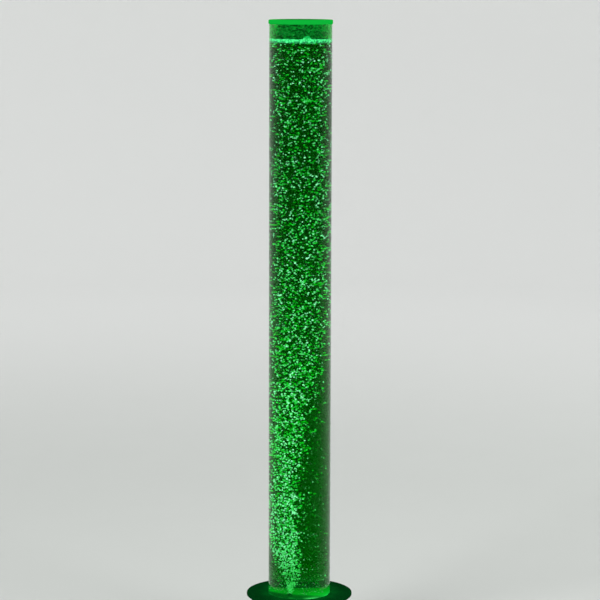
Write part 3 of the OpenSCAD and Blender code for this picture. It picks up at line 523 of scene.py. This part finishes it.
def stream_starts(rng, count):
    """Heights above the floor, and places, at which the rows of bubbles start.

    The heights are drawn by the stream's width times CROWD, and the sides of the stream
    are softer further up.
    """
    grid = np.linspace(0, WATER_Z - FLOOR_Z, 600)
    crowd = at_height(grid, CROWD) * (at_height(grid, RIGHT) - at_height(grid, LEFT))
    height = np.interp(rng.uniform(0, 1, count), np.cumsum(crowd) / crowd.sum(), grid)
    left, right = at_height(height, LEFT) * MM, at_height(height, RIGHT) * MM
    front, back = at_height(height, FRONT) * MM, at_height(height, BACK) * MM
    across, deep = rng.uniform(0, 1, (2, count))
    heaped = (height > HEAP_LOW) & (height < HEAP_HIGH)
    across = np.where(heaped, rng.beta(1.5, 1.45, count), across)
    blur = np.clip(0.05 * height, 0.3 * MM, 2.6 * MM) + 0.018 * height
    soft = rng.normal(0, 1, count) * blur
    places = np.stack([left + (right - left) * across + soft, front + (back - front) * deep,
                       FLOOR_Z + 6 * MM + height], -1)
    return height, places


def rows_of_bubbles(rng, radius, count):
    """Places and radii of bubbles in short crooked rows, which lie flatter further up."""
    height, starts = stream_starts(rng, count)
    size = radius * np.clip(rng.lognormal(0, 0.19, count), 0.65, 1.4)
    size *= at_height(height, SWELL)
    heading = rng.normal(size=(count, 3))
    heading[:, 2] *= 1 - 0.4 * np.clip(height / CALM_HEIGHT, 0, 1)
    heading /= np.linalg.norm(heading, axis=1)[:, None]
    links = len(ROW_SHARES)
    places = chained(rng, starts, heading * (size * 1.7)[:, None], links)
    radii = np.repeat(size, links) * rng.uniform(0.85, 1.15, len(places))
    row = rng.choice(links, count, p=ROW_SHARES)
    listed = (np.arange(links)[None, :] <= row[:, None]).ravel()
    return places[listed], radii[listed]


def neck_bubbles(rng, tall, count):
    """Places and radii of the spray that leaves the nozzle and widens as it climbs."""
    climb = tall * rng.uniform(0, 1, count) ** 1.2
    spray = rng.normal(0, 1, (count, 2)) * (0.9 * MM + 0.13 * climb)[:, None]
    places = np.column_stack([NOZZLE_X + 0.08 * climb + spray[:, 0], NOZZLE_Y + spray[:, 1],
                              nozzle_high.z + 1.5 * MM + climb])
    return places, rng.uniform(0.8, 1.5, count) * MM


def in_drifts(rng, places, radii, seed):
    """Which bubbles to keep: those in the water, fewer along the axis, and more in drifts."""
    out, height = np.hypot(places[:, 0], places[:, 1]), places[:, 2]
    kept = out < BORE_R - radii - 0.3 * MM
    kept &= (height < WATER_Z - 4 * MM) & (height > nozzle_high.z + radii)
    middle = 1 - (out / BORE_R) ** 2
    hollow = 0.62 * middle * (height > FLOOR_Z + HOLLOW_HEIGHT)
    kept &= rng.uniform(0, 1, len(places)) > hollow
    drift = ripple(places, 340.0, seed + 7) + 0.7 * ripple(places, 150.0, seed + 8)
    kept &= rng.uniform(0, 1, len(places)) < 0.6 + 0.6 * drift
    return kept


def bubble_light(rng, places, calm, seed):
    """Brightness of each bubble: patchy, with a wider range where the rush has calmed."""
    patch = ripple(places, 130.0, seed) * 0.22
    light = np.clip(rng.normal(0.78, 0.22, len(places)) + patch, 0.12, 1.0)
    light = (0.12 + 0.49 * light) * (1 - calm) + (0.08 + 0.9 * light) * calm
    return np.clip(light, 0.05, 1.0)


class LAMP_OT_rising_bubbles(bpy.types.Operator):
    """Stream of bubbles from the nozzle up to the foam"""

    bl_idname = "lamp.rising_bubbles"
    bl_label = "Rising Bubbles"

    def execute(self, context):
        water, glow = context.scene.bubble_water, context.scene.bubble_glow
        rng = np.random.default_rng(water.seed)
        rows, row_radii = rows_of_bubbles(rng, water.bead_radius, water.bead_count * 2)
        neck, neck_radii = neck_bubbles(rng, water.neck_height, water.neck_count)
        places = np.concatenate([neck, rows])
        radii = np.concatenate([neck_radii, row_radii])
        order = np.argsort(rng.uniform(0, 1, len(places)))
        places, radii = places[order], radii[order]
        kept = in_drifts(rng, places, radii, water.seed)
        places, radii = places[kept], radii[kept]
        kept = apart(places, radii, closeness=0.86)
        places, radii = places[kept][:water.bead_count], radii[kept][:water.bead_count]

        count, height = len(places), places[:, 2] - FLOOR_Z
        calm = np.clip(height / CALM_HEIGHT, 0, 1)
        light = bubble_light(rng, places, calm, water.seed)
        scale = np.stack([rng.uniform(0.85, 1.15, count), rng.uniform(0.85, 1.15, count),
                          rng.uniform(0.8, 1.05, count) * (1 - 0.2 * calm)], -1)
        tilt = tips(rng, count, 35)
        finish = Finish("bubbles")
        level = finish.glow()
        lit = finish.mix(level, tuple(glow.bead_dim), tuple(glow.bead_bright))
        finish.set(base_color=finish.mix(level, (0.002, 0.03, 0.008), (0.01, 0.08, 0.03)),
                   roughness=0.25, specular=0.1, emission_color=lit, emission_strength=2.8)
        for part, (low, high) in enumerate(zip(PART_HEIGHTS, PART_HEIGHTS[1:])):
            here = (height >= low) & (height < high)
            piece = swarm(f"bubbles_{part + 1}", places[here], radii[here], scale[here],
                          tilt[here], light[here])
            place_piece(piece, finish)
            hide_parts("bubbles")
        return {"FINISHED"}


class LAMP_OT_fine_bubbles(bpy.types.Operator):
    """Fine bubbles drifting all through the water"""

    bl_idname = "lamp.fine_bubbles"
    bl_label = "Fine Bubbles"

    def execute(self, context):
        water, glow = context.scene.bubble_water, context.scene.bubble_glow
        rng = np.random.default_rng(water.seed + 1)
        count = water.mist_count
        radius = BORE_R * 0.97 * np.sqrt(rng.uniform(0, 1, count))
        angle = rng.uniform(-np.pi, np.pi, count)
        height = (WATER_Z - FLOOR_Z - 20 * MM) * rng.uniform(0, 1, count) ** 1.5
        places = np.stack([radius * np.cos(angle), radius * np.sin(angle),
                           FLOOR_Z + 8 * MM + height], -1)
        radii = water.mist_radius * rng.lognormal(0, 0.35, count)
        light = np.clip(rng.lognormal(-1.35, 0.9, count), 0.05, 1.0)
        finish = Finish("fine_bubbles")
        level = finish.glow()
        lit = finish.mix(level, (0.0, 0.05, 0.008), tuple(glow.bead_bright))
        finish.set(base_color=(0.0, 0.02, 0.005), roughness=0.5, specular=0.0,
                   emission_color=lit, emission_strength=1.8)
        piece = swarm("fine_bubbles", places, radii, np.ones((count, 3)), tips(rng, count, 20),
                      light, rings=2, sides=6)
        place_piece(piece, finish)
        return {"FINISHED"}


# ---------- foam and the wet wall ----------

# The mound in the foam: its place in metres, and its height in millimetres
MOUND_X, MOUND_Y, MOUND_TALL = 0.014, -0.067, 8.0


class LAMP_OT_foam(bpy.types.Operator):
    """Foam on the water, with a mound where the stream breaks through"""

    bl_idname = "lamp.foam"
    bl_label = "Foam"

    def execute(self, context):
        water, glow = context.scene.bubble_water, context.scene.bubble_glow
        rng = np.random.default_rng(water.seed + 2)
        sides, rim, rings = 192, BORE_R + 0.4 * MM, 16
        reach = np.linspace(2 * MM, rim - 1 * MM, rings - 1)
        radius = np.concatenate([reach, [rim, rim], reach[::-1]])[:, None]
        angle = np.arange(sides) * 2 * np.pi / sides
        x, y = radius * np.cos(angle), radius * np.sin(angle)
        flat = np.stack([x, y, 0 * x], -1).reshape(-1, 3)
        broad = ripple(flat, 230.0, 5).reshape(x.shape)
        fine = ripple(flat, 900.0, 6).reshape(x.shape)
        away = ((x - MOUND_X) ** 2 + (y - MOUND_Y) ** 2) / water.mound_radius ** 2
        mound = np.sqrt(np.clip(1 - away, 0, 1))
        top = WATER_Z + (0.6 + 0.7 * broad + 0.6 * fine + MOUND_TALL * mound) * MM
        foot = WATER_Z - water.foam_depth * (0.95 + 0.25 * broad + 0.7 * fine)
        height = np.where(np.arange(2 * rings)[:, None] < rings, foot, top)
        raft = turned_solid("foam_raft", radius + 0 * x, height, sides, 60.0)
        finish = Finish("foam")
        z = finish.axes()[2]
        cell = finish.cells(260.0)
        haze = finish.noise(90.0, 3.0)
        # Painted light: the foam glows green with light from the lamps below, with painted shade
        # making it dimmer between its cells and where it stands 1.5 to 4 mm above the water
        painted_dim_top = finish.ramp(z, WATER_Z + 1.5 * MM, WATER_Z + 4 * MM)
        lit = finish.mix(finish.ramp(cell + haze * 0.6 + painted_dim_top * 0.6, 0.5, 1.1),
                         tuple(glow.foam_glow), (0.004, 0.36, 0.06))
        finish.set(base_color=(0.005, 0.08, 0.02), roughness=0.5, specular=0.0,
                   emission_color=lit, emission_strength=1.15,
                   bump=finish.bump(cell, 0.4, 0.5 * MM))
        place_piece(raft, finish)

        count = water.foam_count
        spread = (BORE_R - 2.4 * MM) * rng.uniform(0.2, 1, count) ** 0.35
        turn = rng.uniform(-np.pi, np.pi, count)
        sink = water.foam_depth * (0.7 + 0.9 * rng.uniform(0, 1, count) ** 2)
        places = np.stack([spread * np.cos(turn), spread * np.sin(turn), WATER_Z - sink], -1)
        radii = rng.uniform(0.9, 2.1, count) * MM
        kept = apart(places, radii, closeness=0.7)
        places, radii = places[kept], radii[kept]
        count = len(places)
        light = np.clip(rng.normal(0.85, 0.15, count), 0.3, 1.0)
        foam = Finish("foam_bubbles")
        level = foam.glow()
        # The foam bubbles glow with painted light from the lamps below
        foam.set(base_color=(0.005, 0.08, 0.02), roughness=0.4, specular=0.0,
                 emission_color=foam.mix(level, (0.01, 0.35, 0.07), tuple(glow.foam_glow)),
                 emission_strength=1.0)
        piece = swarm("foam_bubbles", places, radii, np.ones((count, 3)), tips(rng, count, 30),
                      light, rings=3, sides=7)
        place_piece(piece, foam)
        return {"FINISHED"}


class LAMP_OT_wet_wall(bpy.types.Operator):
    """Film and drops on the wall above the water"""

    bl_idname = "lamp.wet_wall"
    bl_label = "Wet Wall"

    def execute(self, context):
        water, glow = context.scene.bubble_water, context.scene.bubble_glow
        rng = np.random.default_rng(water.seed + 3)
        near, out = BORE_R + 0.05 * MM, BORE_R + 0.3 * MM
        low, high = WATER_Z - 2 * MM, tube_high.z - 0.7 * MM
        film = turned_ring("wet_film", [(near, low), (out, low), (out, high), (near, high)], 192)
        finish = Finish("wet_film")
        x, y, z = finish.axes()
        speck = finish.ramp(finish.noise(240.0, 3.0, 0.6), 0.42, 0.58)
        patch = finish.noise(40.0, 2.0, 0.5)
        runs = finish.noise(1.0, 2.0, 0.5, finish.stretched((110, 110, 6)))
        # Painted sheen: the film brightens to the sides, from 39 mm to 68 mm off the middle, where
        # the wall is seen edge-on from the front
        painted_sheen_sides = finish.ramp(x * x, 0.0015, 0.0046)
        # Painted light: the film glows green with light from the lamps below, a little brighter
        # higher up
        rise = finish.ramp(z, WATER_Z, high)
        level = painted_sheen_sides * 0.6 + patch * 0.4 + runs * 0.35 + speck * 0.8 + rise * 0.15 - 0.78
        lit = finish.mix(level, (0.0, 0.005, 0.0), tuple(glow.wet_wall_glow))
        finish.set(base_color=(0.0, 0.02, 0.003), roughness=0.5, specular=0.0,
                   emission_color=lit, emission_strength=1.0,
                   alpha=finish.between(finish.ramp(speck, 0.35, 0.65), 0.88, 0.97))
        place_piece(film, finish)

        count = water.drop_count
        turn = rng.uniform(-np.pi, np.pi, count)
        radii = rng.uniform(0.6, 1.7, count) * MM
        ring = out - 0.5 * radii
        places = np.stack([ring * np.cos(turn), ring * np.sin(turn),
                           low + 10 * MM + (high - low - 12 * MM) * rng.uniform(0, 1, count)], -1)
        kept = apart(places, radii, closeness=0.9)
        places, radii = places[kept], radii[kept]
        count = len(places)
        drops = Finish("drops")
        level = drops.glow()
        # The drops glow with painted green light from the lamps below
        drops.set(base_color=(0.0, 0.02, 0.004), roughness=0.3, specular=0.0,
                  emission_color=drops.mix(level, (0.0, 0.02, 0.001), (0.02, 0.55, 0.08)),
                  emission_strength=1.0)
        light = np.clip(rng.normal(0.4, 0.4, count), 0.0, 1.0)
        piece = swarm("wall_drops", places, radii, np.ones((count, 3)), tips(rng, count, 20),
                      light, rings=2, sides=6)
        place_piece(piece, drops)
        return {"FINISHED"}


# ---------- lid, floor and plate ----------

class LAMP_OT_lit_acrylic(bpy.types.Operator):
    """Glow of the lid and of the tube's floor"""

    bl_idname = "lamp.lit_acrylic"
    bl_label = "Lid and Floor"

    def execute(self, context):
        glow = context.scene.bubble_glow
        lid = Finish("lit_lid")
        x, y = lid.axes()[:2]
        out = (x * x + y * y) ** 0.5
        rim = lid.ramp(out, 0.55 * TUBE_R, TUBE_R)
        streak = lid.noise(1.0, 3.0, 0.5, lid.stretched((90, 90, 500)))
        level = rim * 0.6 + streak * 0.22 + 0.15
        lid.set(base_color=lid.mix(rim, (0.001, 0.03, 0.006), (0.002, 0.05, 0.01)),
                roughness=lid.between(streak, 0.15, 0.3), specular=0.0,
                emission_color=lid.mix(level, (0.0, 0.08, 0.006), tuple(glow.lid_colour)),
                emission_strength=1.0)
        dress("lid", lid)

        floor = Finish("lit_floor")
        x, y = floor.axes()[:2]
        out = (x * x + y * y) ** 0.5
        haze = floor.noise(55.0, 3.0)
        rim = floor.ramp(out, 0.6 * BORE_R, BORE_R)
        # Painted shade darkens the near half, more to the left, and a painted highlight makes a
        # bright arc by the rim, right of the middle
        near = floor.ramp(0 - y - x * 0.45, -2 * MM, 36 * MM)
        beside = floor.ramp(x, 5 * MM, 25 * MM) * (1 - floor.ramp(x, 30 * MM, 55 * MM))
        painted_rim_highlight = near * rim * beside
        level = haze * 0.3 + floor.ramp(x, -70 * MM, 30 * MM) * 0.12 + 0.56 - near * 0.74
        tone = floor.mix(level, (0.0, 0.012, 0.001), tuple(glow.floor_colour))
        floor.set(base_color=(0.001, 0.03, 0.005), roughness=0.3, specular=0.1,
                  emission_color=floor.mix(painted_rim_highlight * 0.6, tone, (0.07, 0.75, 0.16)),
                  emission_strength=1.35)
        dress("tube_floor", floor)
        dress("drain_fitting", floor)
        return {"FINISHED"}


# Plain finishes: colour a, colour b, grain per metre, roughness from, to, metal, bump, coat
PLAIN = {
    "dark_shell": ((0.012, 0.018, 0.015), (0.02, 0.027, 0.023), 900, 0.42, 0.6, 0, 0.25, 0),
    "panel_plastic": ((0.03, 0.036, 0.033), (0.05, 0.056, 0.052), 1400, 0.45, 0.6, 0, 0.2, 0),
    "black_plastic": ((0.008, 0.008, 0.009), (0.016, 0.016, 0.017), 700, 0.2, 0.34, 0, 0.04, 0),
    "button_metal": ((0.5, 0.52, 0.51), (0.66, 0.67, 0.66), 60, 0.2, 0.34, 1, 0.03, 0),
    "zinc_steel": ((0.46, 0.47, 0.47), (0.62, 0.63, 0.62), 300, 0.28, 0.45, 1, 0.06, 0),
    "brass": ((0.55, 0.42, 0.2), (0.72, 0.57, 0.3), 250, 0.2, 0.4, 1, 0.05, 0),
    "chrome_ball": ((0.7, 0.71, 0.72), (0.78, 0.79, 0.8), 120, 0.04, 0.1, 1, 0.01, 0),
    "lever_paint": ((0.42, 0.02, 0.015), (0.55, 0.035, 0.025), 180, 0.25, 0.4, 0, 0.08, 0.3),
    "white_seat": ((0.78, 0.78, 0.75), (0.86, 0.86, 0.84), 300, 0.4, 0.5, 0, 0.03, 0),
    "black_rubber": ((0.012, 0.012, 0.012), (0.024, 0.024, 0.024), 1300, 0.7, 0.88, 0, 0.3, 0),
    "board_white": ((0.74, 0.77, 0.75), (0.84, 0.86, 0.85), 200, 0.3, 0.42, 0, 0.03, 0),
    "clear_hose": ((0.5, 0.62, 0.54), (0.66, 0.76, 0.7), 90, 0.25, 0.4, 0, 0.03, 0),
    "clear_valve": ((0.66, 0.7, 0.72), (0.8, 0.83, 0.85), 60, 0.12, 0.2, 0, 0.02, 0),
    "black_lead": ((0.012, 0.012, 0.013), (0.02, 0.02, 0.021), 500, 0.45, 0.6, 0, 0.08, 0),
    "red_lead": ((0.3, 0.015, 0.012), (0.4, 0.025, 0.02), 500, 0.4, 0.55, 0, 0.08, 0),
    "white_lead": ((0.6, 0.6, 0.57), (0.72, 0.72, 0.69), 500, 0.4, 0.55, 0, 0.08, 0),
    "yellow_lead": ((0.55, 0.42, 0.03), (0.66, 0.52, 0.05), 500, 0.4, 0.55, 0, 0.08, 0),
}
WEARS = {
    "dark_shell": "drum base_cover tube_socket",
    "panel_plastic": "rear_panel",
    "black_plastic": "dc_inlet switch_body switch_rocker pump_head air_nozzle drain_nut",
    "button_metal": "mode_button button_sleeve",
    "zinc_steel": "plate_screws socket_screws cover_screws panel_screws board_screws led_screws "
                  "pump_screws inlet_nut button_nut nozzle_nut pump_motor pump_bracket",
    "brass": "valve_body valve_tail valve_nut led_spacers",
    "chrome_ball": "valve_ball",
    "lever_paint": "valve_lever",
    "white_seat": "valve_seats",
    "black_rubber": "lid_seal tube_seal nozzle_washer drain_washer rubber_feet pump_mounts",
    "board_white": "led_board",
    "clear_hose": "air_hose drain_hose",
    "clear_valve": "check_valve",
    "black_lead": "inlet_lead",
    "red_lead": "switch_lead pump_lead",
    "white_lead": "led_lead",
    "yellow_lead": "button_lead",
}


def plain_finish(name):
    """A moulded, painted, rubber or metal finish from its row in PLAIN."""
    first, second, grain, smooth, rough, metal, bump, coat = PLAIN[name]
    finish = Finish(name)
    cloud = finish.noise(45.0, 4.0, 0.6)
    fine = finish.noise(float(grain), 3.0, 0.6)
    wear = finish.ramp(cloud * 0.7 + fine * 0.3, 0.35, 0.65)
    finish.set(base_color=finish.mix(wear, first, second),
               roughness=finish.between(wear, smooth, rough), metallic=float(metal),
               coat=float(coat), bump=finish.bump(fine, bump, 0.4 * MM))
    return finish


class LAMP_OT_top_plate(bpy.types.Operator):
    """Dark polished plate round the foot of the tube"""

    bl_idname = "lamp.top_plate"
    bl_label = "Top Plate"

    def execute(self, context):
        plate = Finish("dark_gloss")
        x, y = plate.axes()[:2]
        out = (x * x + y * y) ** 0.5
        # Painted light: green light from the tube, pooled on the plate within 40 mm of the tube
        painted_light_pool = 1 - plate.ramp(out, TUBE_R, TUBE_R + 40 * MM)
        cloud = plate.noise(26.0, 3.0)
        scuff = plate.ramp(plate.noise(1.0, 4.0, 0.6, plate.stretched((30, 900, 30))), 0.55, 0.75)
        plate.set(base_color=plate.mix(cloud, (0.0, 0.025, 0.004), (0.001, 0.04, 0.007)),
                  roughness=plate.between(scuff, 0.3, 0.42), specular=0.0,
                  emission_color=plate.mix(painted_light_pool * cloud, (0.0, 0.006, 0.0006), (0.0, 0.07, 0.006)),
                  emission_strength=1.0)
        dress("top_plate", plate)
        return {"FINISHED"}


class LAMP_OT_plain_finishes(bpy.types.Operator):
    """Moulded shell, rubber, metal, hoses and leads"""

    bl_idname = "lamp.plain_finishes"
    bl_label = "Base, Controls and Works"

    def execute(self, context):
        for name, nodes in WEARS.items():
            finish = plain_finish(name)
            for node in nodes.split():
                dress(node, finish)
        return {"FINISHED"}


class LAMP_OT_boards(bpy.types.Operator):
    """Circuit board with its tracks and parts, and the lamps"""

    bl_idname = "lamp.boards"
    bl_label = "Boards and Lamps"

    def execute(self, context):
        board = Finish("board_green")
        track = board.node("ShaderNodeTexBrick", {"offset": 0.35, "squash": 2.0}, {
            "Vector": board.place(), "Color1": (0.02, 0.16, 0.05), "Color2": (0.03, 0.2, 0.07),
            "Mortar": (0.06, 0.34, 0.12), "Scale": 90.0, "Mortar Size": 0.06,
            "Brick Width": 0.7, "Row Height": 0.22})
        board.set(base_color=track, roughness=board.between(board.noise(400.0), 0.25, 0.4),
                  specular=0.5)
        dress("control_board", board)

        bits = Finish("board_bits")
        x, y, z = bits.axes()
        back, side = parts_high.y - 7 * MM, parts_low.x + 7 * MM
        plug = bits.node("ShaderNodeMath", {"operation": "MAXIMUM"}, {0: y > back, 1: x < side})
        can = (x > parts_high.x - 16 * MM) * (z > parts_low.z + 1 * MM) * (1 - (y > back))
        crown = z > parts_high.z - 0.4 * MM
        shade = bits.mix(plug, (0.02, 0.02, 0.022), (0.78, 0.77, 0.7))
        shade = bits.mix(can, shade, (0.04, 0.07, 0.25))
        shade = bits.mix(crown, shade, (0.6, 0.61, 0.62))
        bits.set(base_color=shade, roughness=bits.between(bits.noise(600.0), 0.3, 0.5))
        dress("board_parts", bits)

        lens = Finish("lamp_lens")
        z = lens.axes()[2]
        rise = lens.ramp(z + lens.noise(300.0) * MM, lens_low.z, lens_high.z)
        lens.set(base_color=(0.3, 0.8, 0.4), roughness=0.1, specular=0.5,
                 emission_color=lens.mix(rise, (0.02, 0.4, 0.06), (0.2, 1.0, 0.35)),
                 emission_strength=1.5)
        dress("leds", lens)
        return {"FINISHED"}


# ---------- stage ----------

# Soft lights: place, width and power in watts
LIGHTS = {
    "key": ((-3.2, -3.4, 4.6), 2.4, 150),
    "fill": ((3.8, -2.6, 4.0), 2.6, 90),
    "back": ((1.5, 2.2, 4.6), 2.0, 60),
}
# What they look at: the middle of the lamp
MIDDLE = (0, 0, 0.75)


def soft_light(name, place, size, power):
    """A square white light at a place, looking at the middle of the lamp."""
    data = bpy.data.lights.new(name, "AREA")
    data.size, data.energy = size, power
    lamp = bpy.data.objects.new(name, data)
    bpy.context.scene.collection.objects.link(lamp)
    aim = np.array(MIDDLE) - place
    back = aim / -np.linalg.norm(aim)
    right = np.cross((0, 0, 1), back)
    right /= np.linalg.norm(right)
    turn = np.stack([right, np.cross(back, right), back], -1)
    lamp.matrix_world = Matrix.Translation(place) @ Matrix(turn.tolist()).to_4x4()


class LAMP_OT_stage(bpy.types.Operator):
    """Pale round floor that curves up into a backdrop, soft light and the camera"""

    bl_idname = "lamp.stage"
    bl_label = "Stage"

    def execute(self, context):
        scene, stage = context.scene, context.scene.bubble_stage
        wide, tall, curve = stage.stage_radius, stage.stage_height, stage.stage_curve
        thick, centre = 0.1, 0.2
        bend = np.linspace(np.pi / 2, 0, 25)[1:]
        inner = wide - thick
        radius = np.concatenate([[centre, wide, wide, inner],
                                 inner - curve * (1 - np.sin(bend)), [centre]])
        height = np.concatenate([[-thick, -thick, tall, tall],
                                 curve * (1 - np.cos(bend)), [0.0]])
        cove = turned_solid("floor_and_backdrop", radius[:, None], height[:, None], 128)
        paint = Finish("stage_paint")
        tone = tuple(stage.floor_colour)
        x, y = paint.axes()[:2]
        far = paint.ramp((x * x + y * y) ** 0.5, 1.5, 6.5)
        cloud = paint.noise(3.0, 5.0)
        near = paint.mix(cloud, tone, tuple(c * 0.97 for c in tone))
        paint.set(base_color=paint.mix(far, near, tuple(stage.backdrop_colour)),
                  roughness=0.9, specular=0.1)
        cove.data.materials.append(paint.material)

        world = bpy.data.worlds.new("studio")
        world.use_nodes = True
        background = world.node_tree.nodes["Background"].inputs
        background["Color"].default_value = (1, 1, 1, 1)
        background["Strength"].default_value = stage.world_strength
        scene.world = world
        for name, (place, size, power) in LIGHTS.items():
            soft_light(name, place, size, power)

        camera = bpy.data.objects.new("camera", bpy.data.cameras.new("camera"))
        scene.collection.objects.link(camera)
        camera.data.lens, camera.data.sensor_width = stage.camera_lens, 36.0
        camera.data.clip_end = 50.0
        camera.matrix_world = (
            Matrix.Translation((0, -stage.camera_back, stage.camera_height))
            @ Matrix.Rotation(math.pi / 2 - stage.camera_pitch, 4, "X")
            @ Matrix.Rotation(stage.camera_roll, 4, "Z"))
        scene.camera = camera
        scene.view_settings.view_transform = "Standard"
        return {"FINISHED"}


# ---------- panel and registration ----------

PIECES = (
    LAMP_OT_clear_tube, LAMP_OT_water, LAMP_OT_rising_bubbles, LAMP_OT_fine_bubbles,
    LAMP_OT_foam, LAMP_OT_wet_wall, LAMP_OT_lit_acrylic, LAMP_OT_top_plate,
    LAMP_OT_plain_finishes, LAMP_OT_boards, LAMP_OT_stage,
)
GROUPS = {
    "bubble_water": BubbleWaterSettings,
    "bubble_glow": BubbleGlowSettings,
    "bubble_stage": BubbleStageSettings,
}


class LAMP_PT_sidebar(bpy.types.Panel):
    """Settings and pieces of the bubble lamp"""

    bl_idname = "LAMP_PT_sidebar"
    bl_label = "Bubble Lamp"
    bl_space_type = "VIEW_3D"
    bl_region_type = "UI"
    bl_category = "Bubble Lamp"

    def draw(self, context):
        for group in GROUPS:
            box = self.layout.box()
            settings = getattr(context.scene, group)
            for name in settings.__annotations__:
                box.prop(settings, name)
        for piece in PIECES:
            self.layout.operator(piece.bl_idname)


def register():
    for kind in (*GROUPS.values(), *PIECES, LAMP_PT_sidebar):
        bpy.utils.register_class(kind)
    for name, group in GROUPS.items():
        setattr(bpy.types.Scene, name, bpy.props.PointerProperty(type=group))


def unregister():
    for name in GROUPS:
        delattr(bpy.types.Scene, name)
    for kind in (LAMP_PT_sidebar, *reversed(PIECES), *GROUPS.values()):
        bpy.utils.unregister_class(kind)


def main():
    register()
    for piece in PIECES:
        group, name = piece.bl_idname.split(".")
        getattr(getattr(bpy.ops, group), name)()


if __name__ == "__main__":
    main()
